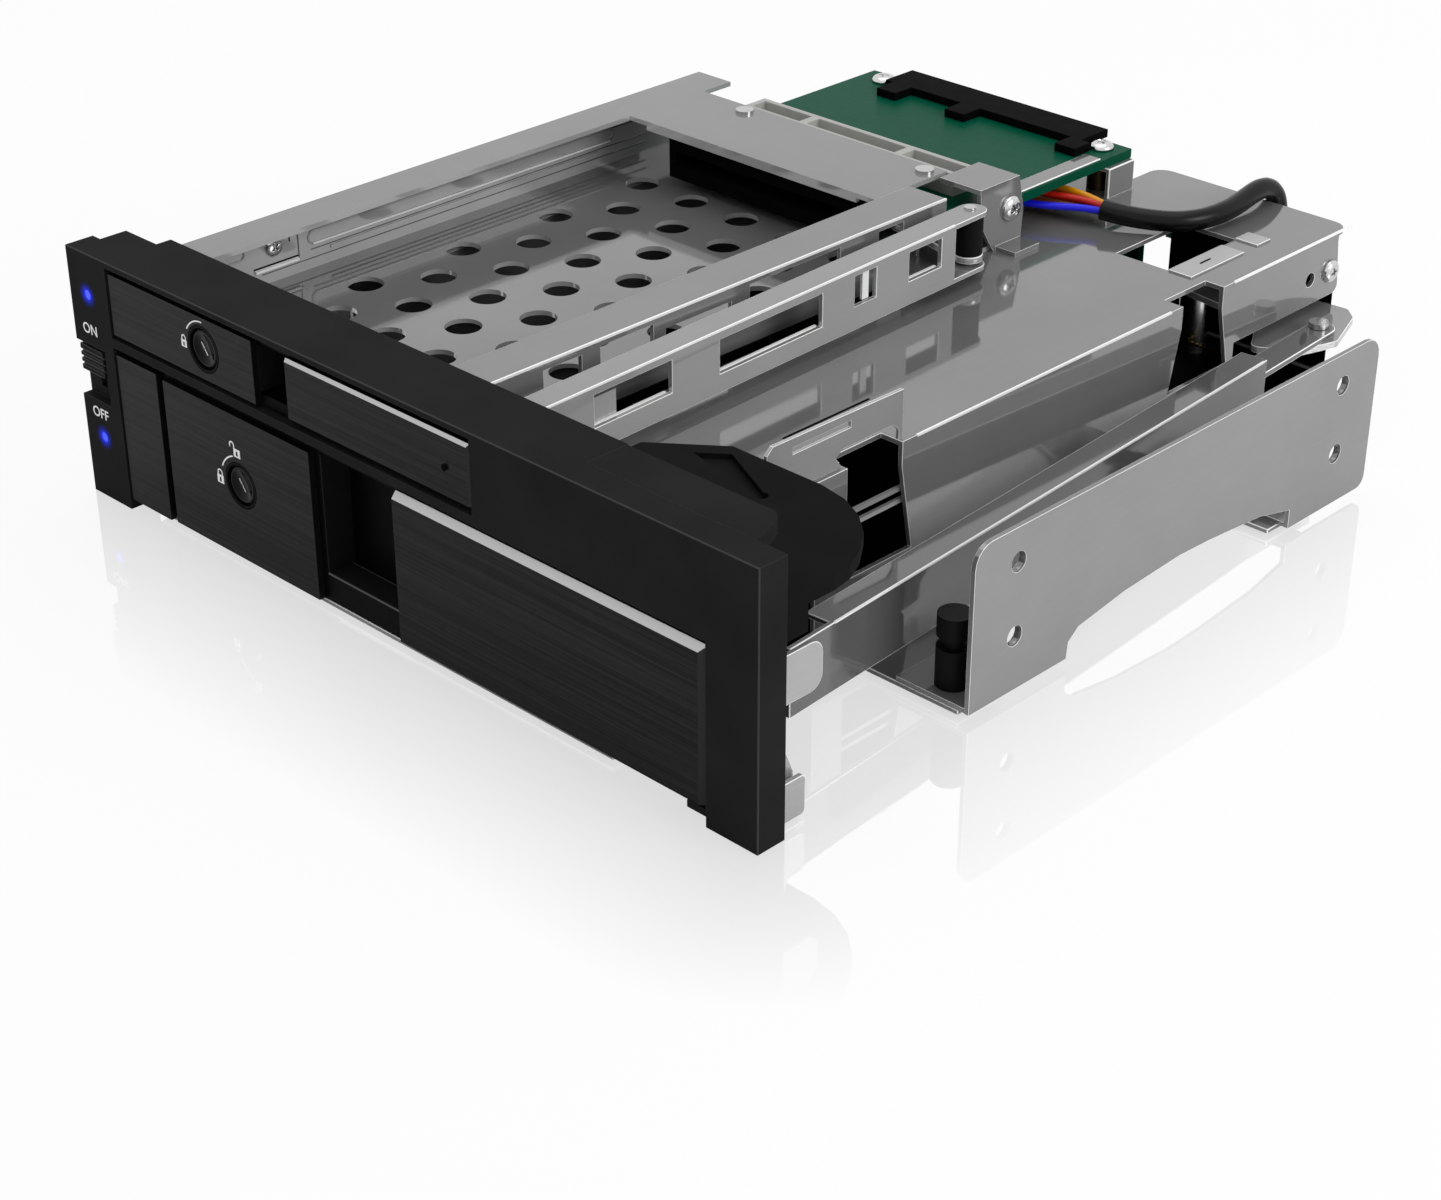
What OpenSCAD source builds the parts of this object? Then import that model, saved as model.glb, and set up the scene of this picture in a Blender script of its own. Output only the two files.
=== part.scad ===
// Hot swap drive cage for one 5.25 inch bay
// It takes one 3.5 inch drive below and one 2.5 inch drive above it.
// X runs across the bay, Y runs from the front face to the back, Z is up.
// Built with the front face at y = 0, then moved so that the origin is at the bottom centre.

/* [Bay] */
// Width of the front bezel
bezel_w = 148; // [147:0.5:149]
// Height of the front bezel
bezel_h = 42.35; // [42:0.05:43]
// Depth of the bezel in front of its seat
bezel_d = 5.1; // [4.8:0.1:5.4]
// Width over the side plates
body_w = 146; // [145:0.5:146.5]
// Whole depth with the rear plug
all_d = 180; // [179:0.5:184]
// Distance between the front and rear side holes
hole_span = 79.2; // [79:0.1:79.4]
// Distance between the lower and upper side holes
hole_rise = 11.8; // [11.6:0.1:12]
// Radius of the side holes
hole_r = 1.6; // [1.4:0.1:1.7]
// Thickness of the folded steel sheet
sheet_t = 0.8; // [0.7:0.05:0.9]
// Top of the lower cage above the table
cage_top = 28.2; // [28:0.1:28.4]
// Top of the upper bay above the table
bay_top = 40; // [39.8:0.1:40.2]

/* [Doors] */
// Height of the bar between the two doors
bar_h = 1.45; // [1.3:0.05:1.5]
// Right edge of the upper opening
upper_right = 20.1; // [19.9:0.1:20.4]
// Right edge of the lower opening
lower_right = 64.6; // [64.4:0.1:64.9]
// Left edge of both openings
open_left = -64; // [-64.2:0.1:-63.8]
// Radius of the door hinge pins
pin_r = 0.7; // [0.6:0.05:0.8]
// Radius of the lock barrels
barrel_r = 3.2; // [3:0.05:3.3]
// Travel of the latch bolts
bolt_travel = 2.4; // [2.2:0.1:2.5]
// Depth of the finger pockets
pocket_d = 6.25; // [6:0.05:6.4]

/* [Linkages] */
// Width of the link channels
link_w = 4.8; // [4.6:0.1:5]
// Radius of the link pins
link_pin_r = 1; // [0.9:0.05:1.1]
// Radial running clearance
run_gap = 0.06; // [0.04:0.01:0.1]
// Radius of the roller at the rear of the upper link
roller_r = 2.3; // [2.1:0.1:2.4]

/* [Boards] */
// Thickness of the circuit boards
board_t = 1.6; // [1.5:0.1:1.7]
// Top of the upper board
board_top = 35.3; // [35:0.1:35.6]

/* [Cable] */
// Diameter of the black sleeve
sleeve_w = 4; // [3.6:0.1:4.2]
// Diameter of one wire
wire_w = 1.3; // [1.1:0.1:1.4]

/* [Hidden] */

fine = 40;
round_n = 5;
eps = 0.01;
half_w = bezel_w / 2;
side_x = body_w / 2;
front_y = -all_d / 2;
quarter = 90;

// Heights of the openings
bar_top = cage_top + bar_h;
head_z = 41.4;
flange_y = 12.6;
flange_x = [open_left, 38];
corner_flange_in = 2;
corner_flange_x = [-half_w + corner_flange_in, open_left];
corner_flange_y = 9.9;
ear_x = 60.3;
ear_y = [0.8, bezel_d];
ear_z = [0.9, 2.0];

// Power switch
switch_w = 7.6;
switch_x = [-half_w, -half_w + switch_w];
switch_z = [17.2, 26.6];
switch_depth = 1.6;
knob_in = [0.2, 6.2];
knob_x = [-half_w + knob_in[0], -half_w + knob_in[1]];
knob_z = [21.4, 25.9];
knob_y = 0.3;
knob_travel = 4;
knob_gap = 0.08;
rib_count = 3;
rib_pitch = 1.1;
rib_w = 0.4;
rib_d = 0.35;
stem_in = [3.2, 4.6];
stem_x = [-half_w + stem_in[0], -half_w + stem_in[1]];
stem_z = [23, 24.4];
switch_body_in = [2, 7.8];
switch_body_x = [-half_w + switch_body_in[0], -half_w + switch_body_in[1]];
switch_body_y = 11;
switch_body_z = [15, 27.5];

// Lights
led_in = 4.6;
led_x = -half_w + led_in;
led_z = [35.3, 10.9];
led_r = 0.8;
led_face_y = 0.1;
led_flange_r = 1.3;
led_flange_d = 0.6;

// Bezel brackets
bracket_w = 7.6;
bracket_x = side_x - bracket_w;
bracket_z = [1.5, 28];
tab_y = 13;
tab_upper_z = [19.6, 27];
tab_lower_z = [1.5, 7.6];
tab_round = 2.2;
tab_short_y = 10;
tab_small_round = 0.8;
// Tapered gusset that stiffens the lower tab
gusset_in = 2.4;
gusset_x = side_x - gusset_in;
gusset_y = 9.4;
gusset_z = 18;

// Base plate
base_z = 0.7;
base_front = 1.9;
base_rear = 174;
base_left = -58.6;
cage_right = 45;
base_strip_y = [bezel_d, 11];
strip_in = 1;
base_strip_x = side_x - strip_in;
arm_reach = 71;
front_arm = [43.4, 52.1, 69];
rear_arm = [112, 118, 128];
arm_corner_x = 52;
arm_lap = 1;
dimple_r = 3;
dimple_at = [[-30, 60], [30, 60], [-30, 150], [30, 150]];

// Side plates
plate_y = [43.3, 141.5];
plate_z = [1.5, 27.8];
front_hole_y = 52.7;
low_hole_z = 10.46;
hole_dimple_r = 2.6;
hole_dimple_d = 0.5;
plate_top_round = 3.5;
plate_low_round = 2;
arch_points = [
    [65, 1.5], [65.3, 4.2], [67.5, 5.9], [78, 7.4], [91.6, 8.1], [98.9, 7.8], [112.3, 6.7], [122, 4.4], [122.4, 1.5]
];
foot_front = [59.5, 43.4, 52.1];
foot_rear = [66, 120.5, 126];
post_at = [66.5, 47.5];
post_r = 2.6;
post_h = 11.5;
post_neck = [0.55, 0.7];
post_neck_r = 1.82;

// Lower cage
cage_front = 42;
cage_rear = 163;
ext_x = 5;
plug_d = 4.5;
ext_rear = all_d - plug_d;
ext_round = 3;
wall_rear = 172;
wall_round = 1.5;
wall_low_z = 17;
wall_low_y = 143.3;
window_one = [[48.5, 60.3], 10, 63];
window_two = [[128, 139], 13.5, [125.5, 141.6]];
window_over = 1;
window_slope = 4;
notch_one_x = 40.8;
notch_two_x = 41.3;
cable_hole = [[23.8, 34.5], [138.3, 157]];
// Large air hole under the perforated tray
air_hole = [[-57, 5], [47, 110]];
drive_hole_r = 1.7;
drive_hole_y = [70, 111.5];
drive_hole_z = 8;
// Standing plate beside the front window of the cage, with a foot on the cage's top
front_bracket_x = [43.5, 44.1];
front_bracket_points = [
    [32.8, 30.4], [42, cage_top], [48.2, cage_top], [46.9, 30], [48.4, 31], [59.2, 31], [60.4, 29.8], [60.4, cage_top],
    [61.2, cage_top], [61.2, 36], [34, 36.4], [32.8, 35.3]
];
front_bracket_foot = [[37.5, 43.6], [42.2, 48.2]];
front_bracket_slot = [[38, 50], [33.8, 34.9]];
large_board_x = [-52, 12];
large_board_y = 161.2;
large_board_z = 26;
large_plug_x = [-47, -5];
large_plug_y = 155.6;
large_plug_z = [3.5, 10.5];
plug_slot_h = 2.4;
plug_wall = 1.6;

// Upper bay
tray_left = -66;
tray_right = 7.8;
tray_rear = 130.5;
lip_x = -58;
vent_r = 3;
vent_pitch = 12;
vent_start_x = [-53.8, -47.8];
vent_start_y = [41.8, 31.4];
vent_row = 20.76;
vent_across = [5, 4];
vent_rows = 4;
rib_line_z = [31.5, 36];
rib_line_y = [44, 104];
emboss_h = 0.5;
emboss_d = 0.25;
seam_y = 37.5;
rail_x = [-1.1, 7];
rail_y = [13, 114];
rail_low_y = 103.5;
rail_low_z = 34;
rail_windows = [
    [25.5, 33, 35.4, 38.7], [36.7, 47.5, 34.5, 38.9], [50, 64, 32.5, 37.5], [68, 88.5, 36.2, 39],
    [97.5, 103.5, 36.2, 39]
];
cross_x = [lip_x, rail_x[0]];
cross_y = [105.5, 123.5];
cross_lip_z = 38.4;
cross_lip_in = 4;
rivet_r = 1.6;
rivet_h = 0.5;
rivet_at = [[-45.2, 120.9], [-3.7, 120.9]];
small_plug_x = [-50, -8];
small_plug_y = [107, 117.2];
small_plug_z = [30.6, 38];

// Upper board
board_x = [-52.8, 7];
board_y = [117.2, 163.8];
spacer_at = [[-47.5, 160.4], [3, 160.4]];
spacer_r = 2.2;
screw_head_r = 2.2;
screw_head_h = 1.1;
// Pan head outline as shares of its radius and height
pan_profile = [[0, 0], [1, 0], [1, 0.35], [0.8, 0.8], [0.4, 1], [0, 1]];
screw_r = 1.25;
comb_x = [-45, 0.5];
comb_y = [158, 165.5];
comb_teeth = [-43.2, -27, -2];
comb_tooth_w = 4.5;
comb_tooth_y = 153.5;
comb_h = 1.5;
strip_x = [3.2, 6.6];
strip_y = [134, 155.6];
strip_h = 0.3;
bar_x = [-49, -0.4];
bar_y = [124.5, 130];
bar_wall = 1.1;
bar_high = 39.3;
bar_ribs = [-36, -14];
leg_x = 7.2;
leg_y = [156.5, 163.6];
leg_foot_x = 3;

// End bracket
cap_x = [0, 8.8];
cap_y = [120.5, 130.5];
side_points = [[120.5, 40], [130.5, 40], [131.9, 34], [131.5, 28.2], [124.5, 28.2], [121, 33.6]];
bracket_foot_x = 13;
bracket_foot_y = [125, 131.3];
bracket_screw = [128.2, 34.9];
shell_screws = [[170.3, 21.6], [164.6, 21.6]];
tray_screw = [32.6, 35];
tray_head_r = 1.75;
tray_head_h = 0.66;

// Hinge cover
cover_top = 35;
cover_t = 2;
cover_points = [
    [28, bezel_d], [side_x, bezel_d], [side_x, 15], [72.4, 18.5], [70.8, 22], [67.7, 26.3], [64, 29.4], [59.6, 31.5],
    [54.7, 32.4], [38, 32.4], [28, 24.5]
];
cover_cut = [[35.4, 27.2], [39.6, 30.6], [51.4, 24.9], [50.6, 23.9]];
cover_cut_d = 0.8;
cover_hole = [51.1, 24.5];
cover_hole_r = 0.9;
cover_leg_in = [6.4, 0.4];
cover_leg = [[side_x - cover_leg_in[0], side_x - cover_leg_in[1]], [bezel_d, 10.5], 28.6];

// Doors: hinge axis, plates and pocket
door_face = 0.2;
plate_t = 1.1;
carrier_y = door_face + plate_t;
carrier_t = 2;
upper_axis = [17.4, 2.3];
lower_axis = [61.8, 2.3];
relief_y = 0.5;
relief_d = 0.6;
upper_door_z = [30.15, 40.9];
lower_door_z = [2.3, 27.7];
door_left = -63.5;
upper_lock_x = [-63.4, -27.9];
upper_lock_z = [30.4, 40.5];
upper_pocket_x = [-27.9, -20.1];
upper_pocket_floor = 31.9;
upper_flap_x = [-20.1, 19.7];
upper_flap_z = [30.75, 40.3];
upper_lock_at = [-39.9, 35.4];
lower_end_x = [-63.5, -53.3];
lower_lock_x = [-51.6, -16.2];
lower_lock_z = [2.2, 26.6];
lower_end_z = [1.9, 27];
lower_pocket_x = [-14.7, 2.5];
lower_pocket_floor = 7.06;
lower_flap_x = [2.5, 64.1];
lower_flap_z = [2.7, 27];
lower_lock_at = [-33.6, 15];
flap_bevel = [0.6, 1.1];
flap_bevel_d = [0.3, 0.87];
side_bevel = [0.46, 1.06];
pocket_wall = 0.9;
knuckle_r = 1.75;
knuckle_in = 0.5;
pin_gap = 0.05;

// Locks and bolts
lock_hole_r = 3.8;
collar_gap = 0.05;
barrel_face = 0.7;
barrel_rear = 4.9;
crank_arm = bolt_travel;
crank_r = 0.6;
crank_len = 2;
key_w = 0.9;
key_l = 3.6;
key_d = 1.2;
mark_r = 0.3;
mark_out = 2.5;
boss_r = 5;
bolt_y = [5.3, 6.4];
bolt_h = 3;
bolt_tip = -62.7;
bolt_plate = 8.4;
bolt_slot_w = 2.5;
bolt_slot_z = [-1, 3.3];
guide_x = [-62.4, -56];
guide_wall = 1;
pocket_gap = 0.2;

// Links: pins at the door arm and at the rear lever
upper_arm = [15.9, 6.2];
upper_rear = [12.4, 113.4];
upper_pivot = [-3.5, 117.5];
lower_arm = [60.2, 7.2];
lower_rear = [50.4, 160];
lower_pivot = [22, 165];
upper_arm_z = [32.6, 34];
upper_tongue_z = [34.2, 35.2];
lower_arm_z = [9.6, 11.2];
lower_tongue_z = [11.4, 12.4];
arm_ear_r = 2.1;
eye_x = [-2.05, 1.4];
eye_y = [-0.8, 1.65];
tongue_x = [-2.6, 1.9];
tongue_front = -1.35;
tongue_cut = 0.96;
eye_cut = 0.48;
arm_pin_r = 0.7;
arm_pin_over = 0.4;
tongue_lap = [1, 3];
// The door is hollowed behind its hinge so that the tongue can swing past the pin
swing_room = [6, 1.2, 0.25];
upper_link_z = [29.9, 40];
lower_link_z = [7.5, 18.4];
upper_web_y = [9, 100.3];
lower_web_y = [11, 131.8];
web_out = link_w / 2 + 0.4;
link_ear_r = 2.4;
upper_web_windows = [
    [18.7, 34.6, 33.5, 38.7], [44.8, 67.8, 33, 38.5], [75.4, 80.6, 33.8, 38.9], [88.6, 96.7, 33.9, 38.8]
];
lower_flange_y = 20;
low_flange_len = 14;
lever_t = 1.2;
lever_round = 1.5;
upper_lever_z = 31.2;
lower_lever_z = 13.9;
lever_boss_r = 3.4;
pivot_r = 1.6;
pivot_head_r = 2.6;
pivot_head_h = 0.9;
lower_lever_points = [
    [16, 163], [24, 159.6], [40, 157.4], [45.5, 147.5], [52, 152], [54.6, 159.5], [51.1, 169.6],
    [48.5, 172], [44, 171.6], [30, 169], [17.5, 168.6]
];
strap_z = [15.2, 16.2];
strap_lap = 8;
strap_head_r = 1.7;
pin_over = 0.3;
lever_gap = 0.1;

// Cable route: from under the upper board, over the cage and down to the rear plug
sleeve_route = [
    [11, 146.5, 31.6], [14, 146.8, 31.3], [17.4, 147.4, 31], [20.6, 148.8, 30.9], [23.2, 151.2, 31], [24.9, 154.3, 31.5],
    [25.9, 157.8, 32.2], [26.4, 161.6, 32.9], [26.8, 165.4, 33.4], [27.2, 169.2, 33.5], [27.7, 172.6, 32.8],
    [28.2, 175.3, 31.2], [28.7, 177.1, 28.6], [29, 177.6, 25.4], [29, 177.6, 22]
];
wire_routes = [
    [[-4.5, 140, 30.6], [-3, 140.6, 30.3], [0, 142.2, 30.1], [6, 144.8, 30.4]],
    [[-4.5, 151, 32.2], [-3, 150.8, 32.2], [2, 149.8, 32], [7, 148, 31.4]],
    [[-4.5, 146, 32.4], [-3, 146, 32.4], [0, 146.2, 32.4], [6, 146.6, 32.5]],
    [[-4.5, 136, 32.2], [-3, 137.2, 32.2], [0, 140, 32.2], [6, 144.2, 32.3]]
];
// Where each wire enters the sleeve, beside its middle, and its straight end
wire_offsets = [[0, -0.8, -0.8], [0, 0.8, -0.8], [0, 0.8, 0.8], [0, -0.8, 0.8]];
wire_lead = 1.5;
wire_touch = 0.02;
header_x = [-12, -6];
header_y = [134, 153];
header_z = 29.6;
rear_wall_z = 16;
plug_x = [23.5, 34.5];
plug_y = [ext_rear, all_d];
plug_z = [8, 22];
clip_one = [[34.6, 39.2], [138, 152.8]];
clip_two = [[34.5, 39], [156.8, 160.6]];
clip_t = 0.35;
cord_sides = 8;

function unit(v) = v / norm(v);
function turn(a, b) = a[0] * b[1] - a[1] * b[0];
// Points of an arc of radius r that replaces the corner b between a and c
function corner(a, b, c, r) =
    let (u = unit(a - b), w = unit(c - b), half = acos(max(-1, min(1, u * w))) / 2)
    let (reach = r / tan(half), middle = b + unit(u + w) * r / sin(half))
    let (first = b + u * reach - middle, last = b + w * reach - middle)
    let (from = atan2(first[1], first[0]), swing = atan2(turn(first, last), first * last))
    [for (i = [0:round_n]) middle + r * [cos(from + swing * i / round_n), sin(from + swing * i / round_n)]];
function smooth(points, r) =
    let (n = len(points))
    [for (i = [0:n - 1]) each corner(points[(i + n - 1) % n], points[i], points[(i + 1) % n], r)];
function rect(x, z) = [[x[0], z[0]], [x[1], z[0]], [x[1], z[1]], [x[0], z[1]]];
// Frames along a route, for a round tube of triangles
function heading(path, i) = unit(path[min(i + 1, len(path) - 1)] - path[max(i - 1, 0)]);
function sideways(d) = unit(cross(d, abs(d[2]) < 0.8 ? [0, 0, 1] : [1, 0, 0]));
function ring(path, i, r) =
    let (d = heading(path, i), s = sideways(d), t = cross(s, d))
    [for (k = [0:cord_sides - 1]) path[i] + r * (s * cos(k * 360 / cord_sides) + t * sin(k * 360 / cord_sides))];

// A wire from the header's face to the sleeve's face, square to both
function wire_path(i) =
    let (route = wire_routes[i], dir = unit(sleeve_route[1] - sleeve_route[0]), side = wire_offsets[i])
    let (last = sleeve_route[0] + side - dir * (side * dir + wire_touch))
    concat([[header_x[1] + wire_touch, route[0][1], route[0][2]]], route, [last - dir * wire_lead, last]);

module place() { translate([0, front_y, 0]) children(); }
module slab(x, y, z) { translate([x[0], y[0], z[0]]) cube([x[1] - x[0], y[1] - y[0], z[1] - z[0]]); }
module pole(at, r, z) { translate([at[0], at[1], z[0]]) cylinder(r = r, h = z[1] - z[0], $fn = fine); }
module rod_y(at, r, y) { translate([at[0], y[0], at[1]]) rotate([-90, 0, 0]) cylinder(r = r, h = y[1] - y[0], $fn = fine); }
module rod_x(at, r, x) { translate([x[0], at[0], at[1]]) rotate([0, 90, 0]) cylinder(r = r, h = x[1] - x[0], $fn = fine); }
// Upright sheet across X from an outline in Y and Z
module sheet_x(x, points) { translate([x[0], 0, 0]) rotate([90, 0, 90]) linear_extrude(x[1] - x[0]) polygon(points); }
// Upright sheet across Y from an outline in X and Z
module sheet_y(y, points) { translate([0, y[1], 0]) rotate([90, 0, 0]) linear_extrude(y[1] - y[0]) polygon(points); }
// Flat sheet from an outline in X and Y
module sheet_z(z, points) { translate([0, 0, z[0]]) linear_extrude(z[1] - z[0]) polygon(points); }
module tube(path, r) {
    n = len(path);
    m = cord_sides;
    polyhedron(
        points = [for (i = [0:n - 1]) each ring(path, i, r)],
        faces = concat(
            [[for (k = [m - 1:-1:0]) k]],
            [for (i = [0:n - 2]) for (k = [0:m - 1]) [
                i * m + (k + 1) % m, (i + 1) * m + (k + 1) % m, (i + 1) * m + k, i * m + k
            ]],
            [[for (k = [0:m - 1]) (n - 1) * m + k]]
        )
    );
}
module both_sides() {
    children();
    mirror([1, 0, 0]) children();
}

module bezel() {
    color("#1c1c1c") place() difference() {
        union() {
            slab([-half_w, half_w], [0, bezel_d], [0, bezel_h]);
            slab(flange_x, [0, flange_y], [head_z, bezel_h]);
            slab(corner_flange_x, [0, corner_flange_y], [head_z, bezel_h]);
        }
        slab([open_left, upper_right], [-eps, bezel_d + eps], [bar_top, head_z]);
        slab([upper_right - eps, upper_right + relief_d], [relief_y, bezel_d + eps], [bar_top, head_z]);
        difference() {
            slab([open_left, lower_right], [-eps, bezel_d + eps], [-eps, cage_top]);
            slab([ear_x, lower_right + eps], ear_y, ear_z);
        }
        slab([switch_x[0] - eps, switch_x[1]], [-eps, switch_depth], switch_z);
        slab(
            [stem_x[0] - knob_gap, stem_x[1] + knob_gap], [0, bezel_d + eps],
            [stem_z[0] - knob_travel - knob_gap, stem_z[1] + knob_gap]
        );
        for (z = led_z) rod_y([led_x, z], led_r, [-eps, bezel_d + eps]);
        pole(upper_axis, pin_r, [cage_top - eps, bezel_h - bar_h / 2]);
        pole(lower_axis, pin_r, [-eps, bar_top]);
    }
}
module led_lenses() {
    color("#2b4cff") place() for (z = led_z) {
        rod_y([led_x, z], led_r, [led_face_y, bezel_d]);
        rod_y([led_x, z], led_flange_r, [bezel_d, bezel_d + led_flange_d]);
    }
}
module switch_knob() {
    color("#222222") place() {
        difference() {
            slab(knob_x, [knob_y, switch_depth - knob_gap], knob_z);
            for (i = [0:rib_count - 1])
                slab(
                    [knob_x[0] - eps, knob_x[1] + eps], [knob_y - eps, knob_y + rib_d],
                    [
                        knob_z[0] + rib_pitch * (i + 1) - rib_w / 2,
                        knob_z[0] + rib_pitch * (i + 1) + rib_w / 2
                    ]
                );
        }
        slab(stem_x, [switch_depth - knob_gap, bezel_d], stem_z);
    }
}
module switch_body() {
    color("#262626") place() slab(switch_body_x, [bezel_d, switch_body_y], switch_body_z);
}
module bezel_bracket() {
    slab([bracket_x, side_x], [bezel_d, bezel_d + sheet_t], bracket_z);
    for (t = [[tab_upper_z, tab_y, tab_round], [tab_lower_z, tab_short_y, tab_small_round]])
        sheet_x([side_x - sheet_t, side_x], concat(
            [[bezel_d, t[0][0]], [bezel_d, t[0][1]]],
            corner([bezel_d, t[0][1]], [t[1], t[0][1]], [t[1], t[0][0]], t[2]),
            corner([t[1], t[0][1]], [t[1], t[0][0]], [bezel_d, t[0][0]], t[2])
        ));
    sheet_x([gusset_x, gusset_x + sheet_t], [
        [bezel_d, tab_lower_z[0]], [bezel_d, gusset_z], [gusset_y, tab_lower_z[1]], [gusset_y, tab_lower_z[0]]
    ]);
}
module bezel_bracket_right() { color("#b4b4b4") place() bezel_bracket(); }
module bezel_bracket_left() {
    color("#b4b4b4") place() difference() {
        mirror([1, 0, 0]) bezel_bracket();
        slab(
            [switch_body_x[0] - pocket_gap, switch_body_x[1] + pocket_gap], [0, switch_body_y],
            [switch_body_z[0] - pocket_gap, switch_body_z[1] + pocket_gap]
        );
        for (z = led_z) rod_y([led_x, z], led_flange_r + pocket_gap, [0, tab_y]);
    }
}
module base_plate() {
    z = [base_z, base_z + sheet_t];
    color("#8e8e8e") place() difference() {
        union() {
            slab([base_left, cage_right], [base_front, base_rear], z);
            slab([-base_strip_x, base_strip_x], base_strip_y, z);
            both_sides() {
                sheet_z(
                    z,
                    [
                        [cage_right - arm_lap, front_arm[0]], [arm_reach, front_arm[0]],
                        [arm_reach, front_arm[1]], [foot_front[0], front_arm[1]],
                        [arm_corner_x, front_arm[2]], [cage_right - arm_lap, front_arm[2]]
                    ]
                );
                sheet_z(
                    z,
                    [
                        [cage_right - arm_lap, rear_arm[0]], [arm_corner_x, rear_arm[0]],
                        [foot_rear[0], rear_arm[1]], [arm_reach, rear_arm[1]], [arm_reach, rear_arm[2]],
                        [cage_right - arm_lap, rear_arm[2]]
                    ]
                );
            }
            for (at = dimple_at) pole(at, dimple_r, [0, base_z]);
        }
        pole(lower_pivot, pivot_r, [-eps, base_z + sheet_t + eps]);
    }
}
module side_plate() {
    low = plate_z[0];
    x = [side_x - sheet_t, side_x];
    difference() {
        union() {
            sheet_x(x, concat(
                [[plate_y[0], low]],
                corner(
                    [plate_y[0], low], [plate_y[0], plate_z[1]], [plate_y[1], plate_z[1]],
                    plate_top_round
                ),
                corner(
                    [plate_y[0], plate_z[1]], [plate_y[1], plate_z[1]], [plate_y[1], low],
                    plate_top_round
                ),
                corner([plate_y[1], plate_z[1]], [plate_y[1], low], [plate_y[0], low], plate_low_round),
                [for (i = [len(arch_points) - 1:-1:0]) [arch_points[i][0], max(low, arch_points[i][1])]]
            ));
            slab([foot_front[0], side_x], [foot_front[1], foot_front[2]], [low, low + sheet_t]);
            slab([foot_rear[0], side_x], [foot_rear[1], foot_rear[2]], [low, low + sheet_t]);
            slab([side_x - sheet_t, side_x], [foot_rear[1], foot_rear[2]], [low, arch_points[3][1]]);
            for (y = [front_hole_y, front_hole_y + hole_span], z = [low_hole_z, low_hole_z + hole_rise])
                rod_x([y, z], hole_dimple_r, [side_x - sheet_t - hole_dimple_d, side_x - sheet_t]);
        }
        for (y = [front_hole_y, front_hole_y + hole_span], z = [low_hole_z, low_hole_z + hole_rise])
            rod_x([y, z], hole_r, [side_x - sheet_t - hole_dimple_d - eps, side_x + eps]);
    }
}
module side_plate_right() { color("#a0a0a0") place() side_plate(); }
module side_plate_left() { color("#a0a0a0") place() mirror([1, 0, 0]) side_plate(); }
module rubber_posts() {
    low = plate_z[0] + sheet_t;
    color("#1a1a1a") place() both_sides() {
        pole(post_at, post_r, [low, low + post_h * post_neck[0]]);
        pole(post_at, post_neck_r, [low, low + post_h * post_neck[1]]);
        pole(post_at, post_r, [low + post_h * post_neck[1], low + post_h]);
    }
}
module large_cage() {
    z = [cage_top - sheet_t, cage_top];
    low = base_z + sheet_t;
    // The walls end inside the top sheet's thickness
    seam_z = cage_top - sheet_t / 2;
    color("#9a9a9a") place() difference() {
        union() {
            sheet_z(z, concat(
                [[base_left, cage_front], [cage_right, cage_front]],
                corner([cage_right, cage_front], [cage_right, ext_rear], [ext_x, ext_rear], ext_round),
                corner([cage_right, ext_rear], [ext_x, ext_rear], [ext_x, cage_rear], ext_round),
                [[ext_x, cage_rear], [base_left, cage_rear]]
            ));
            slab([base_left, base_left + sheet_t], [cage_front, cage_rear], [low, seam_z]);
            sheet_x([cage_right - sheet_t, cage_right], concat(
                [[cage_front, low], [cage_front, seam_z], [wall_rear, seam_z]],
                corner(
                    [wall_rear, seam_z], [wall_rear + wall_round, wall_low_z], [wall_low_y, wall_low_z],
                    wall_round
                ),
                [[wall_low_y, wall_low_z], [wall_low_y, low]]
            ));
            slab(
                [ext_x + ext_round, cage_right - ext_round], [ext_rear - sheet_t, ext_rear - eps],
                [rear_wall_z, seam_z]
            );
        }
        sheet_x([notch_one_x, cage_right + eps], concat(
            [[window_one[0][0], window_one[1]]],
            [[window_one[0][0], cage_top + window_over]],
            [[window_one[0][1], cage_top + window_over], [window_one[0][1], cage_top - window_slope]],
            [[window_one[2], window_one[1]]]
        ));
        sheet_x([notch_two_x, cage_right + eps], [
            [window_two[2][0], window_two[1]], [window_two[0][0], cage_top - window_slope],
            [window_two[0][0], cage_top + window_over], [window_two[0][1], cage_top + window_over],
            [window_two[0][1], cage_top - window_slope], [window_two[2][1], window_two[1]]
        ]);
        slab(cable_hole[0], cable_hole[1], [z[0] - eps, z[1] + eps]);
        slab(air_hole[0], air_hole[1], [z[0] - eps, z[1] + eps]);
        for (x = [base_left - eps, cage_right - sheet_t - eps], y = drive_hole_y)
            rod_x([y, drive_hole_z], drive_hole_r, [x, x + sheet_t + 2 * eps]);
        pole(upper_pivot, pivot_r, [z[0] - eps, z[1] + eps]);
        for (at = shell_screws) rod_x(at, screw_r, [cage_right - sheet_t - eps, cage_right + eps]);
    }
}
module front_bracket() {
    color("#bdbdbd") place() difference() {
        union() {
            sheet_x(front_bracket_x, front_bracket_points);
            slab(
                front_bracket_foot[0], front_bracket_foot[1],
                [cage_top, cage_top + front_bracket_x[1] - front_bracket_x[0]]
            );
        }
        slab(
            [front_bracket_x[0] - eps, front_bracket_x[1] + eps], front_bracket_slot[0],
            front_bracket_slot[1]
        );
    }
}
module large_board() {
    color("#0a5a43") place() slab(
        large_board_x, [large_board_y, large_board_y + board_t], [base_z + sheet_t, large_board_z]
    );
}
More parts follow.
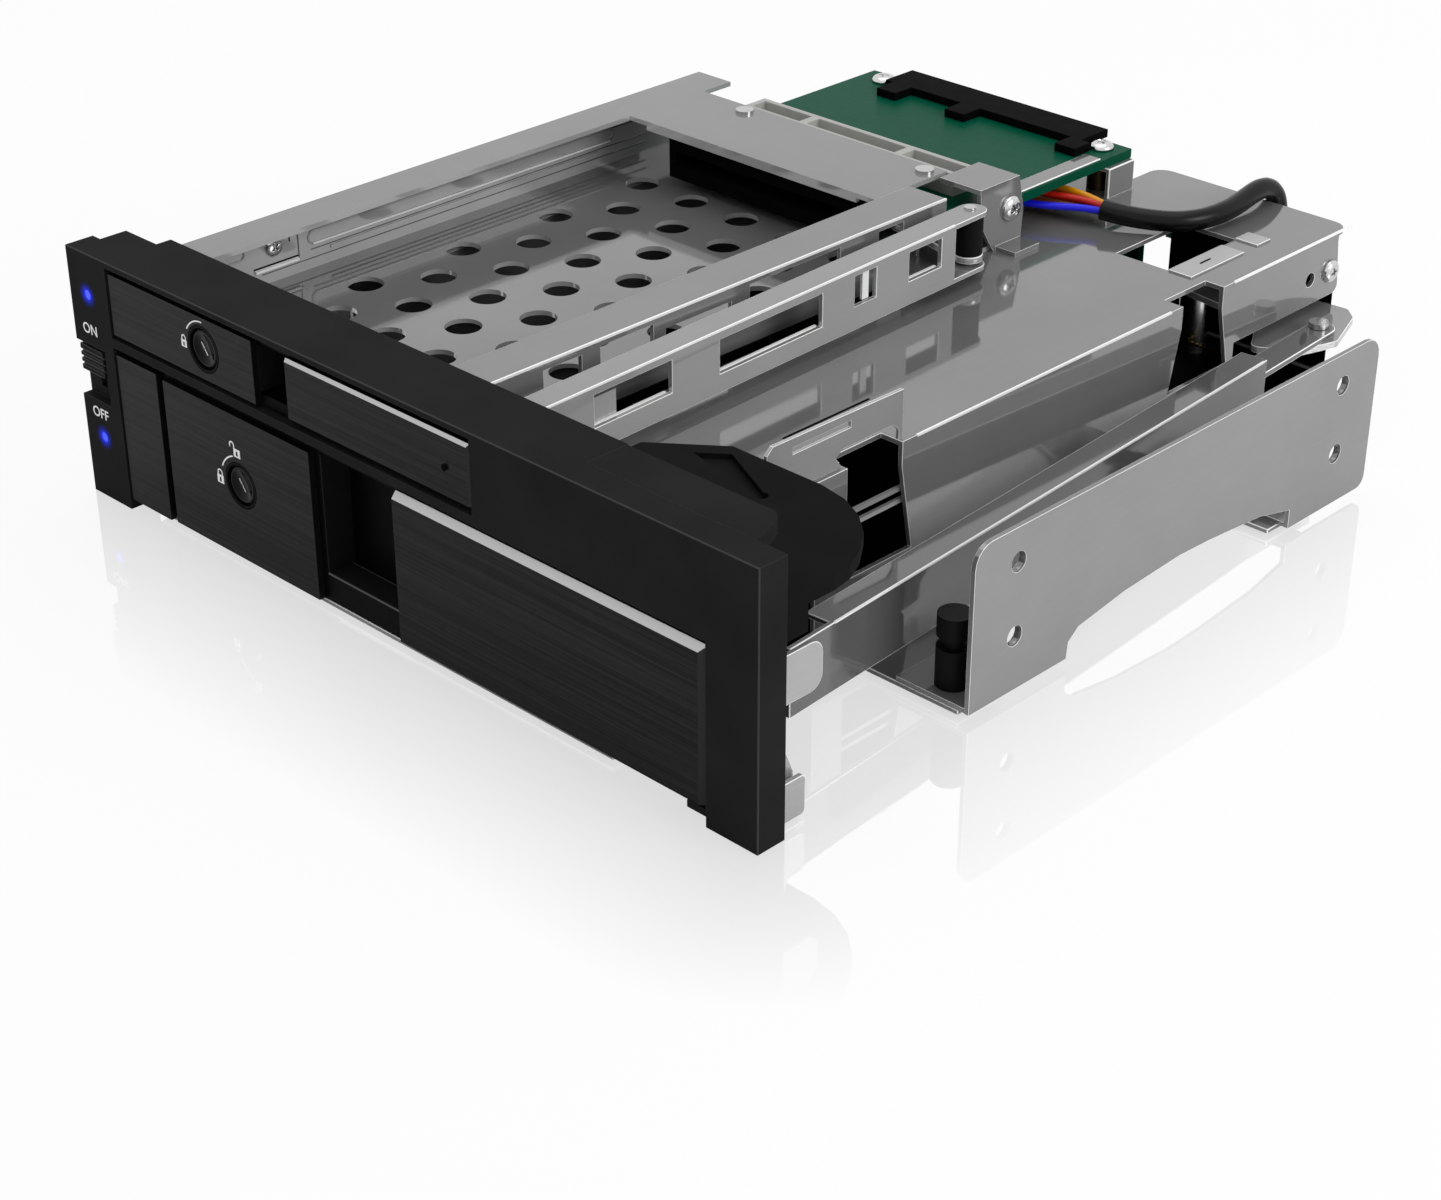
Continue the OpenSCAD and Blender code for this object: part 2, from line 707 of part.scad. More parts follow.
module drive_plug(x, y, z) {
    middle = (z[0] + z[1]) / 2;
    color("#141414") place() difference() {
        slab(x, y, z);
        slab(
            [x[0] + plug_wall, x[1] - plug_wall], [y[0] - eps, y[1] - plug_wall],
            [middle - plug_slot_h / 2, middle + plug_slot_h / 2]
        );
    }
}
module large_connector() { drive_plug(large_plug_x, [large_plug_y, large_board_y], large_plug_z); }
module small_connector() { drive_plug(small_plug_x, small_plug_y, small_plug_z); }
module small_bay_tray() {
    floor_z = [cage_top, cage_top + sheet_t];
    wall_x = [tray_left, tray_left + sheet_t];
    color("#a6a6a6") place() difference() {
        union() {
            slab([tray_left, tray_right], [bezel_d, tray_rear], floor_z);
            slab(wall_x, [bezel_d, tray_rear], [cage_top, bay_top]);
            slab([tray_left, lip_x], [flange_y, tray_rear], [bay_top - sheet_t, bay_top]);
            for (z = rib_line_z) slab([wall_x[1], wall_x[1] + emboss_d], rib_line_y, [z, z + emboss_h]);
            slab([wall_x[1], wall_x[1] + emboss_d], [seam_y, seam_y + emboss_h], rib_line_z);
        }
        for (k = [0:1], row = [0:vent_rows - 1], i = [0:vent_across[k] - 1])
            pole(
                [vent_start_x[k] + vent_pitch * i, vent_start_y[k] + vent_row * row], vent_r,
                [floor_z[0] - eps, floor_z[1] + eps]
            );
        pole(upper_pivot, pivot_r, [floor_z[0] - eps, floor_z[1] + eps]);
        rod_x(tray_screw, screw_r, [wall_x[0] - eps, wall_x[1] + eps]);
    }
}
module small_bay_rail() {
    x = [rail_x[1] - sheet_t, rail_x[1]];
    low = cage_top + sheet_t;
    color("#a2a2a2") place() difference() {
        union() {
            slab(rail_x, rail_y, [bay_top - sheet_t, bay_top]);
            sheet_x(
                x,
                [
                    [rail_y[0], low], [rail_low_y, low], [rail_low_y, rail_low_z],
                    [rail_y[1], rail_low_z], [rail_y[1], bay_top], [rail_y[0], bay_top]
                ]
            );
        }
        for (w = rail_windows) slab([x[0] - eps, x[1] + eps], [w[0], w[1]], [w[2], w[3]]);
    }
}
module cross_plate() {
    z = [bay_top - sheet_t, bay_top];
    color("#a8a8a8") place() difference() {
        union() {
            slab(cross_x, cross_y, z);
            slab(
                [cross_x[0] + cross_lip_in, cross_x[1] - cross_lip_in],
                [cross_y[0], cross_y[0] + sheet_t], [cross_lip_z, bay_top]
            );
        }
        for (at = rivet_at) pole(at, screw_r, [z[0] - eps, z[1] + eps]);
    }
}
module cross_rivets() {
    color("#c4c4c4") place() for (at = rivet_at) {
        pole(at, screw_r, [bay_top - 2 * sheet_t, bay_top]);
        pole(at, rivet_r, [bay_top, bay_top + rivet_h]);
    }
}
module upper_board() {
    z = [board_top - board_t, board_top];
    color("#07543f") place() difference() {
        slab(board_x, board_y, z);
        for (at = spacer_at) pole(at, screw_r, [z[0] - eps, z[1] + eps]);
    }
}
module board_insulator() {
    z = [board_top, board_top + comb_h];
    color("#171717") place() {
        slab(comb_x, comb_y, z);
        for (x = comb_teeth) slab([x, x + comb_tooth_w], [comb_tooth_y, comb_y[0]], z);
    }
}
module comb_bar() {
    color("#c9c9c4") place() difference() {
        slab(bar_x, bar_y, [board_top, bar_high]);
        for (i = [0:len(bar_ribs)]) {
            from = i == 0 ? bar_x[0] : bar_ribs[i - 1];
            to = i == len(bar_ribs) ? bar_x[1] : bar_ribs[i];
            slab(
                [from + bar_wall, to - bar_wall / 2], [bar_y[0] + bar_wall, bar_y[1] - bar_wall],
                [board_top + bar_wall, bar_high + eps]
            );
        }
    }
}
module board_leg() {
    color("#b0b0b0") place() {
        slab([leg_x, leg_x + sheet_t], leg_y, [cage_top, board_top - board_t]);
        slab([leg_foot_x + spacer_r, leg_x], leg_y, [board_top - board_t - sheet_t, board_top - board_t]);
    }
}
module board_spacers() {
    color("#b89a4a") place() for (at = spacer_at) difference() {
        pole(at, spacer_r, [cage_top, board_top - board_t]);
        pole(at, screw_r, [cage_top + board_t, board_top]);
    }
}
module pan_head(r, h) {
    rotate_extrude($fn = fine) polygon([for (p = pan_profile) [r * p[0], h * p[1]]]);
}
module board_screws() {
    color("#cfcfcf") place() for (at = spacer_at) {
        pole(at, screw_r, [cage_top + board_t, board_top]);
        translate([at[0], at[1], board_top]) pan_head(screw_head_r, screw_head_h);
    }
}
module ground_strip() {
    color("#9c9c9c") place() slab(strip_x, strip_y, [board_top, board_top + strip_h]);
}
module end_bracket() {
    x = [cap_x[1] - sheet_t, cap_x[1]];
    color("#9f9f9f") place() difference() {
        union() {
            slab(cap_x, cap_y, [bay_top - sheet_t, bay_top]);
            sheet_x(x, side_points);
            slab([x[0], bracket_foot_x], bracket_foot_y, [cage_top, cage_top + sheet_t]);
        }
        rod_x(bracket_screw, screw_r, [x[0] - eps, x[1] + eps]);
    }
}
module case_screws() {
    color("#d0d0d0") place() {
        translate([cap_x[1], bracket_screw[0], bracket_screw[1]]) rotate([0, 90, 0]) pan_head(screw_head_r, screw_head_h);
        rod_x(bracket_screw, screw_r, [cap_x[1] - sheet_t, cap_x[1]]);
        for (at = shell_screws) {
            translate([cage_right, at[0], at[1]]) rotate([0, 90, 0]) pan_head(screw_head_r, screw_head_h);
            rod_x(at, screw_r, [cage_right - 2 * sheet_t, cage_right]);
        }
        translate([
            tray_left + sheet_t, tray_screw[0], tray_screw[1]
        ]) rotate([0, 90, 0]) pan_head(tray_head_r, tray_head_h);
        rod_x(tray_screw, screw_r, [tray_left, tray_left + sheet_t]);
    }
}
module hinge_housing() {
    color("#1e1e1e") place() difference() {
        union() {
            sheet_z([cover_top - cover_t, cover_top], cover_points);
            slab(cover_leg[0], cover_leg[1], [cover_leg[2], cover_top - cover_t]);
        }
        sheet_z([cover_top - cover_cut_d, cover_top + eps], cover_cut);
        pole(cover_hole, cover_hole_r, [cover_top - cover_t - eps, cover_top + eps]);
    }
}
module hinge_pins() {
    color("#bcbcbc") place() {
        pole(upper_axis, pin_r, [cage_top, bezel_h - bar_h / 2]);
        pole(lower_axis, pin_r, [ear_z[0], bar_top]);
    }
}
module lever_pivot(at, low, seat) {
    pole(at, pivot_r, [low, seat + lever_t + lever_gap]);
    pole(at, pivot_head_r, [low + sheet_t, seat - lever_gap]);
    pole(at, pivot_head_r, [seat + lever_t + lever_gap, seat + lever_t + lever_gap + pivot_head_h]);
}
module lever_pivots() {
    color("#c6c6c6") place() {
        lever_pivot(upper_pivot, cage_top, upper_lever_z);
        lever_pivot(lower_pivot, base_z, lower_lever_z);
    }
}
module cable_clips() {
    color("#d2d2d2") place() for (c = [clip_one, clip_two]) slab(c[0], c[1], [cage_top, cage_top + clip_t]);
}
module cable_sleeve() { color("#121212") place() tube(sleeve_route, sleeve_w / 2); }
module cable_wires() {
    colors = ["#d8b400", "#c03a10", "#1c2ec0", "#101010"];
    place() for (i = [0:len(wire_routes) - 1]) color(colors[i]) tube(wire_path(i), wire_w / 2);
}
module wire_header() {
    color("#d8d4c8") place() slab(header_x, header_y, [header_z, board_top - board_t]);
}
module rear_plug() {
    color("#101010") place() {
        slab(plug_x, plug_y, plug_z);
    }
}

// Door body: carrier plate, finger pocket, knuckle, arm and guides for the bolt
module door_body(axis, z, pocket_x, pocket_floor, lock_at, arm, arm_z, tongue_z, flap_x, right_bevel) {
    difference() {
        union() {
            slab([door_left, flap_x[1] - right_bevel], [carrier_y, carrier_y + carrier_t], z);
            slab(
                [pocket_x[0] - pocket_wall, pocket_x[1] + pocket_wall],
                [carrier_y, pocket_d + pocket_wall], z
            );
            difference() {
                pole(axis, knuckle_r, z);
                slab(
                    [axis[0] - knuckle_r - eps, axis[0] + knuckle_r + eps], [0, carrier_y + knuckle_in],
                    [z[0] - eps, z[1] + eps]
                );
            }
            slab([arm[0] - arm_ear_r, arm[0] + arm_ear_r], [carrier_y + knuckle_in, arm[1]], arm_z);
            pole(arm, arm_ear_r, arm_z);
            rod_y(lock_at, boss_r - eps, [carrier_y, barrel_rear]);
            slab(
                guide_x, [carrier_y, bolt_y[1] + guide_wall],
                [lock_at[1] - bolt_h / 2 - guide_wall, lock_at[1] + bolt_h / 2 + guide_wall]
            );
        }
        slab(pocket_x, [0, pocket_d], [pocket_floor, z[1] - pocket_wall]);
        pole(axis, pin_r + pin_gap, [z[0] - eps, z[1] + eps]);
        pole(arm, arm_pin_r, [arm_z[0] - eps, arm_z[1] + eps]);
        slab(
            [arm[0] - swing_room[0], axis[0] + knuckle_r + eps],
            [carrier_y + swing_room[1], carrier_y + carrier_t + knuckle_r],
            [arm_z[1], tongue_z[1] + swing_room[2]]
        );
        rod_y(lock_at, barrel_r + run_gap, [0, barrel_rear + eps]);
        rod_y(lock_at, lock_hole_r - collar_gap, [0, carrier_y + carrier_t / 2]);
        slab(
            [guide_x[0] - eps, guide_x[1] + eps], [bolt_y[0] - run_gap, bolt_y[1] + run_gap],
            [lock_at[1] - bolt_h / 2 - run_gap, lock_at[1] + bolt_h / 2 + run_gap]
        );
    }
}
module flap_plate(x, z, i) {
    left = x[0];
    right = x[1];
    rear = carrier_y;
    // Bevelled along the top and the right edge
    difference() {
        slab([left, right], [door_face, rear], z);
        sheet_x(
            [left - eps, right + eps],
            [
                [door_face - eps, z[1] - flap_bevel[i]], [door_face + flap_bevel_d[i], z[1] + eps],
                [door_face - eps, z[1] + eps]
            ]
        );
        sheet_z(
            [z[0] - eps, z[1] + eps],
            [
                [right - side_bevel[i], door_face - eps], [right + eps, door_face - eps],
                [right + eps, door_face + flap_bevel_d[i]]
            ]
        );
    }
}
module lock_plate(x, z, lock_at) {
    difference() {
        slab(x, [door_face, carrier_y], z);
        rod_y(lock_at, lock_hole_r, [0, carrier_y + eps]);
    }
}
module lock_collar(at) {
    difference() {
        rod_y(at, lock_hole_r - collar_gap, [door_face, carrier_y + carrier_t / 2]);
        rod_y(at, barrel_r + run_gap, [0, carrier_y + carrier_t]);
    }
}
module lock_barrel(at) {
    difference() {
        union() {
            rod_y(at, barrel_r, [barrel_face, barrel_rear]);
            rod_y([at[0], at[1] + crank_arm], crank_r, [barrel_rear, barrel_rear + crank_len]);
        }
        slab(
            [at[0] - key_w / 2, at[0] + key_w / 2], [barrel_face - eps, barrel_face + key_d],
            [at[1] - key_l / 2, at[1] + key_l / 2]
        );
        rod_y([at[0], at[1] + mark_out], mark_r, [barrel_face - eps, barrel_face + mark_r]);
    }
}
module latch_bolt(at) {
    difference() {
        union() {
            slab([bolt_tip, at[0]], bolt_y, [at[1] - bolt_h / 2, at[1] + bolt_h / 2]);
            slab(
                [at[0] - bolt_plate / 2, at[0] + bolt_plate / 2], bolt_y,
                [at[1] - bolt_h / 2, at[1] + bolt_plate / 2 + pocket_gap]
            );
        }
        slab(
            [at[0] - bolt_slot_w / 2, at[0] + bolt_slot_w / 2], [bolt_y[0] - eps, bolt_y[1] + eps],
            [at[1] + bolt_slot_z[0], at[1] + bolt_slot_z[1]]
        );
    }
}
module upper_door_body() {
    color("#191919") place()
        door_body(
            upper_axis, upper_door_z, upper_pocket_x, upper_pocket_floor, upper_lock_at, upper_arm,
            upper_arm_z, upper_tongue_z, upper_flap_x, side_bevel[0]
        );
}
module upper_lock_plate() { color("#262626") place() lock_plate(upper_lock_x, upper_lock_z, upper_lock_at); }
module upper_flap_plate() { color("#2a2a2a") place() flap_plate(upper_flap_x, upper_flap_z, 0); }
module upper_lock_collar() { color("#121212") place() lock_collar(upper_lock_at); }
module upper_lock_barrel() { color("#1d1d1d") place() lock_barrel(upper_lock_at); }
module upper_latch_bolt() { color("#8c8c8c") place() latch_bolt(upper_lock_at); }
module upper_arm_pin() { color("#c0c0c0") place() pole(
    upper_arm, arm_pin_r, [upper_arm_z[0], upper_tongue_z[1] + arm_pin_over]
); }
module lower_door_body() {
    color("#191919") place()
        door_body(
            lower_axis, lower_door_z, lower_pocket_x, lower_pocket_floor, lower_lock_at, lower_arm,
            lower_arm_z, lower_tongue_z, lower_flap_x, side_bevel[1]
        );
}
module lower_lock_plate() { color("#262626") place() lock_plate(lower_lock_x, lower_lock_z, lower_lock_at); }
module lower_flap_plate() { color("#2a2a2a") place() flap_plate(lower_flap_x, lower_flap_z, 1); }
module lower_end_plate() { color("#262626") place() slab(
    lower_end_x, [door_face, carrier_y], lower_end_z
); }
module lower_lock_collar() { color("#121212") place() lock_collar(lower_lock_at); }
module lower_lock_barrel() { color("#1d1d1d") place() lock_barrel(lower_lock_at); }
module lower_latch_bolt() { color("#8c8c8c") place() latch_bolt(lower_lock_at); }
module lower_arm_pin() { color("#c0c0c0") place() pole(
    lower_arm, arm_pin_r, [lower_arm_z[0], lower_tongue_z[1] + arm_pin_over]
); }

// Moves a link drawn along +Y from its arm pin to its real place
module along(from, to) {
    d = to - from;
    translate([from[0], from[1], 0]) rotate([0, 0, atan2(d[1], d[0]) - quarter]) children();
}
// The tongue's eye leaves room for the arm pin, which swings a little out of the link's line
module open_eye(z) {
    sheet_z([z[0] - eps, z[1] + eps], [
        [eye_x[0], eye_y[0]], [eye_x[1] - eye_cut, eye_y[0]], [eye_x[1], eye_y[0] + eye_cut],
        [eye_x[1], eye_y[1]], [eye_x[0], eye_y[1]]
    ]);
}
module tongue(start, z) {
    sheet_z(z, [
        [tongue_x[0], tongue_front], [tongue_x[1] - tongue_cut, tongue_front], [tongue_x[1], tongue_front + tongue_cut],
        [tongue_x[1], start], [tongue_x[0], start]
    ]);
    slab([tongue_x[0], web_out], [start - tongue_lap[0], start + tongue_lap[1]], z);
}
module upper_link() {
    length = norm(upper_rear - upper_arm);
    low = upper_link_z[0];
    high = upper_link_z[1];
    color("#a4a4a4") place() along(upper_arm, upper_rear) difference() {
        union() {
            slab([web_out - sheet_t, web_out], upper_web_y, upper_link_z);
            slab([web_out - link_w, web_out], [upper_web_y[0], length], [high - sheet_t, high]);
            slab([web_out - link_w, web_out], [length - low_flange_len, length], [low, low + sheet_t]);
            for (z = [low, high - sheet_t]) pole(
                [web_out - link_w / 2, length], link_w / 2, [z, z + sheet_t]
            );
            tongue(upper_web_y[0], upper_tongue_z);
        }
        for (z = [low, high - sheet_t]) pole(
            [0, length], link_pin_r + run_gap, [z - eps, z + sheet_t + eps]
        );
        for (w = upper_web_windows)
            slab([web_out - sheet_t - eps, web_out + eps], [w[0], w[1]], [w[2], w[3]]);
        open_eye(upper_tongue_z);
    }
}
module lower_link() {
    length = norm(lower_rear - lower_arm);
    high = lower_link_z[1];
    color("#8f8f8f") place() along(lower_arm, lower_rear) difference() {
        union() {
            slab([web_out - sheet_t, web_out], lower_web_y, lower_link_z);
            slab([web_out - link_w, web_out], [lower_flange_y, lower_web_y[1]], [high - sheet_t, high]);
            slab([web_out - link_w, web_out], [lower_web_y[1] - strap_lap, length], strap_z);
            pole([web_out - link_w / 2, length], link_w / 2, strap_z);
            tongue(lower_web_y[0], lower_tongue_z);
        }
        pole([0, length], link_pin_r + run_gap, [strap_z[0] - eps, strap_z[1] + eps]);
        open_eye(lower_tongue_z);
    }
}
module upper_lever() {
    z = [upper_lever_z, upper_lever_z + lever_t];
    across = unit([upper_pivot[1] - upper_rear[1], upper_rear[0] - upper_pivot[0]]) * link_ear_r;
    color("#979797") place() difference() {
        union() {
            pole(upper_pivot, lever_boss_r, z);
            pole(upper_rear, link_ear_r, z);
            sheet_z(
                z,
                [upper_pivot + across, upper_pivot - across, upper_rear - across, upper_rear + across]
            );
        }
        pole(upper_pivot, pivot_r + run_gap, [z[0] - eps, z[1] + eps]);
        pole(upper_rear, link_pin_r, [z[0] - eps, z[1] + eps]);
    }
}
module upper_lever_pin() {
    color("#c0c0c0") place() {
        pole(upper_rear, link_pin_r, [upper_link_z[0] - pin_over, upper_link_z[1] + pin_over]);
    }
}
module upper_roller() {
    color("#1b1b1b") place() difference() {
        pole(upper_rear, roller_r, [upper_lever_z + lever_t, upper_link_z[1] - sheet_t - lever_gap]);
        pole(upper_rear, link_pin_r, [upper_lever_z, upper_link_z[1]]);
    }
}
module lower_lever() {
    z = [lower_lever_z, lower_lever_z + lever_t];
    color("#9b9b9b") place() difference() {
        union() {
            sheet_z(z, smooth(lower_lever_points, lever_round));
            pole(lower_pivot, lever_boss_r, z);
        }
        pole(lower_pivot, pivot_r + run_gap, [z[0] - eps, z[1] + eps]);
        pole(lower_rear, link_pin_r, [z[0] - eps, z[1] + eps]);
    }
}
module lower_lever_pin() {
    color("#c0c0c0") place() {
        pole(lower_rear, link_pin_r, [lower_lever_z, strap_z[1] + lever_gap]);
        pole(lower_rear, strap_head_r, [strap_z[1] + lever_gap, strap_z[1] + lever_gap + pivot_head_h]);
    }
}

bezel();
led_lenses();
switch_knob();
switch_body();
bezel_bracket_right();
bezel_bracket_left();
base_plate();
side_plate_right();
side_plate_left();
rubber_posts();
large_cage();
front_bracket();
large_board();
large_connector();
small_bay_tray();
small_bay_rail();
cross_plate();
cross_rivets();
small_connector();
upper_board();
board_insulator();
comb_bar();
board_leg();
board_spacers();
board_screws();
ground_strip();
end_bracket();
case_screws();
hinge_housing();
hinge_pins();
lever_pivots();
cable_clips();
cable_sleeve();
cable_wires();
wire_header();
rear_plug();
upper_door_body();
upper_lock_plate();
upper_flap_plate();
upper_lock_collar();
upper_arm_pin();
upper_lock_barrel();
upper_latch_bolt();
upper_lever();
upper_lever_pin();
upper_roller();
upper_link();
lower_door_body();
lower_lock_plate();
lower_flap_plate();
lower_end_plate();
lower_lock_collar();
lower_arm_pin();
lower_lock_barrel();
lower_latch_bolt();
lower_lever();
lower_lever_pin();
lower_link();
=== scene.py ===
"""Looks of the hot swap drive cage: camera, studio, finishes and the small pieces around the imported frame."""
import math

import bmesh
import bpy
from mathutils import Euler, Matrix, Vector


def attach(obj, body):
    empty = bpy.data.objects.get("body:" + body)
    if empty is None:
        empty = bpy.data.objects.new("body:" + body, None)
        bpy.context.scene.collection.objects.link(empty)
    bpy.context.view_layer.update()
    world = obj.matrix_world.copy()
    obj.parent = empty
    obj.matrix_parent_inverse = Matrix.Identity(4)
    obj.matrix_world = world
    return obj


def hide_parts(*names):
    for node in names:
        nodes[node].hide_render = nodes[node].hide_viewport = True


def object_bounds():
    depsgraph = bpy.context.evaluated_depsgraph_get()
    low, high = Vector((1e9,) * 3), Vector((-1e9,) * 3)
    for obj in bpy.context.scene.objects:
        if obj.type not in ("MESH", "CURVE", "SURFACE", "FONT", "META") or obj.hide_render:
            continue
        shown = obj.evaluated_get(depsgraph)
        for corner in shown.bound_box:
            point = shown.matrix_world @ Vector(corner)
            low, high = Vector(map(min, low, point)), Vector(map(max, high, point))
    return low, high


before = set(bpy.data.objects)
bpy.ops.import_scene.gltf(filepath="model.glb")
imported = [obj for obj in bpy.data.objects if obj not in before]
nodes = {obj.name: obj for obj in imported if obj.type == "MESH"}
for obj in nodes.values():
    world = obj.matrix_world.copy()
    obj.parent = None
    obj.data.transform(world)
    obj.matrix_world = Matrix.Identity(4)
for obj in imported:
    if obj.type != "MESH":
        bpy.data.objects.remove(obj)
cad_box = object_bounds()
MM = 0.001
# The front face of the bezel lies this far in front of the origin
FRONT = cad_box[0][1]


def at(x, y, z):
    """A point given in millimetres from the middle of the bezel's front lower edge."""
    return Vector((x * MM, FRONT + y * MM, z * MM))


# Camera: the photograph's place, turn and lens, solved from the bezel's and the side holes' known sizes
CAMERA_PLACE = (278.24, -214.87, 206.08)
CAMERA_TURN = (60.4465, 0.0721, 44.4229)
CAMERA_LENS = 69.56
SENSOR = 36.0

scene = bpy.context.scene
scene.view_settings.view_transform = "Standard"
camera_data = bpy.data.cameras.new("camera")
camera_data.lens = CAMERA_LENS
camera_data.sensor_width = SENSOR
camera_data.clip_start = 0.01
camera = bpy.data.objects.new("camera", camera_data)
camera.location = at(*CAMERA_PLACE)
camera.rotation_euler = Euler([math.radians(a) for a in CAMERA_TURN])
scene.collection.objects.link(camera)
scene.camera = camera


def linear(code):
    """Linear colour with alpha from an sRGB hex code."""
    channels = [int(code[i : i + 2], 16) / 255 for i in (1, 3, 5)]
    return [c / 12.92 if c <= 0.04045 else ((c + 0.055) / 1.055) ** 2.4 for c in channels] + [1.0]


def add(tree, kind, settings=None, **inputs):
    """A new node of the tree with its settings.

    An input is named for its socket, or i0, i1 and so on for its number.
    It is a value or the socket that feeds it.
    """
    made = tree.nodes.new(kind)
    for name, value in (settings or {}).items():
        setattr(made, name, value)
    for name, value in inputs.items():
        by_number = name[0] == "i" and name[1:].isdigit()
        socket = made.inputs[int(name[1:]) if by_number else name.replace("_", " ")]
        if isinstance(value, bpy.types.NodeSocket):
            tree.links.new(value, socket)
        else:
            socket.default_value = value
    return made


def material(name):
    """An empty node material and its tree."""
    made = bpy.data.materials.new(name)
    made.use_nodes = True
    made.node_tree.nodes.clear()
    return made, made.node_tree


def output(tree, shader):
    """Ends a material's tree with its shader."""
    add(tree, "ShaderNodeOutputMaterial", Surface=shader.outputs[0])


def grain(tree, size_mm, detail=4.0, stretch=(1, 1, 1)):
    """Noise whose features are size_mm across, stretched along the axes."""
    place = add(tree, "ShaderNodeTexCoord")
    scale = [1 / (size_mm * MM * s) for s in stretch]
    mapped = add(tree, "ShaderNodeMapping", Vector=place.outputs["Object"], Scale=scale)
    return add(tree, "ShaderNodeTexNoise", Vector=mapped.outputs[0], Scale=1.0, Detail=detail, Roughness=0.6)


def blend_colours(tree, factor, dark, light, low=0.35, high=0.65):
    """A colour that goes from dark to light as the factor goes from low to high."""
    ramp = add(tree, "ShaderNodeValToRGB", Fac=factor)
    ramp.color_ramp.elements[0].position = low
    ramp.color_ramp.elements[0].color = linear(dark)
    ramp.color_ramp.elements[1].position = high
    ramp.color_ramp.elements[1].color = linear(light)
    return ramp.outputs[0]


def spread(tree, factor, low, high):
    """A factor of 0 to 1 spread over low to high."""
    return add(tree, "ShaderNodeMapRange", Value=factor, To_Min=low, To_Max=high).outputs[0]


def bump(tree, height, depth_mm, strength=0.5):
    """A normal disturbed by a height of depth_mm."""
    return add(tree, "ShaderNodeBump", Height=height, Distance=depth_mm * MM, Strength=strength).outputs[0]


# Centres of the two lit lenses, and how far their blue light, painted on the plastic round them as a glow,
# spreads
LENS_X = -69.4
LENS_Z = (35.3, 10.9)
GLOW_R = 2.6
LENS_R = 0.5
GLOW_FALL = 3.0


def painted_lens_glow(tree):
    """How strongly the lenses' blue light is painted on the bezel as a glow: full beside a lens and fading away
    from it.
    """
    place = add(tree, "ShaderNodeTexCoord").outputs["Object"]
    parts = []
    for z in LENS_Z:
        gap = add(tree, "ShaderNodeVectorMath", {"operation": "DISTANCE"}, i0=place, i1=at(LENS_X, 0, z))
        near = add(
            tree,
            "ShaderNodeMapRange",
            Value=gap.outputs["Value"],
            From_Min=GLOW_R * MM,
            From_Max=LENS_R * MM,
        )
        part = add(tree, "ShaderNodeMath", {"operation": "POWER"}, i0=near.outputs[0], i1=GLOW_FALL)
        parts.append(part.outputs[0])
    return add(tree, "ShaderNodeMath", {"operation": "ADD"}, i0=parts[0], i1=parts[1]).outputs[0]


# Width of the painted highlight on the bezel's front edges in millimetres, and where its top and right end lie
BEZEL_HIGHLIGHT_W = 0.17
BEZEL_TOP = cad_box[1][2]
BEZEL_RIGHT = cad_box[1][0]


def painted_edge_highlight(tree):
    """One along the bezel's top and right front edges, where a highlight is painted for the light that the
    mould's rounding catches.
    """
    place = add(tree, "ShaderNodeSeparateXYZ", Vector=add(tree, "ShaderNodeTexCoord").outputs["Object"])
    width = BEZEL_HIGHLIGHT_W * MM
    right = add(
        tree, "ShaderNodeMath", {"operation": "GREATER_THAN"}, i0=place.outputs[0], i1=BEZEL_RIGHT - width,
    )
    top = add(
        tree, "ShaderNodeMath", {"operation": "GREATER_THAN"}, i0=place.outputs[2], i1=BEZEL_TOP - width,
    )
    either = add(tree, "ShaderNodeMath", {"operation": "MAXIMUM"}, i0=right.outputs[0], i1=top.outputs[0])
    front = add(tree, "ShaderNodeMath", {"operation": "LESS_THAN"}, i0=place.outputs[1], i1=FRONT + width)
    return add(
        tree, "ShaderNodeMath", {"operation": "MULTIPLY"}, i0=either.outputs[0], i1=front.outputs[0],
    ).outputs[0]


def moulded_abs(name, dark, light, rough=0.5, spark_mm=0.22, shine=0.2, glows=False):
    """Black ABS from a spark eroded mould: a fine even grain that breaks up its soft shine."""
    made, tree = material(name)
    cloud_mm = 18.0
    fine = grain(tree, spark_mm, 3.0)
    wide = grain(tree, cloud_mm, 2.0)
    shader = add(
        tree,
        "ShaderNodeBsdfPrincipled",
        Base_Color=blend_colours(tree, wide.outputs[0], dark, light),
        Roughness=spread(tree, fine.outputs[0], rough - 0.06, rough + 0.08),
        Normal=bump(tree, fine.outputs[0], 0.02),
        Specular_IOR_Level=shine,
    )
    if glows:
        # Painted light: the bezel glows blue beside the lenses, for the light that they spill on it
        shader.inputs["Emission Color"].default_value = linear("#2038ff")
        tree.links.new(painted_lens_glow(tree), shader.inputs["Emission Strength"])
        # Painted highlight: a lighter rim colour along the bezel's top and right front edges
        face = shader.inputs["Base Color"].links[0].from_socket
        rim = linear("#424242")
        colour = add(tree, "ShaderNodeMix", {"data_type": "RGBA"}, Factor=painted_edge_highlight(tree), i6=face, i7=rim)
        tree.links.new(colour.outputs[2], shader.inputs["Base Color"])
    output(tree, shader)
    return made


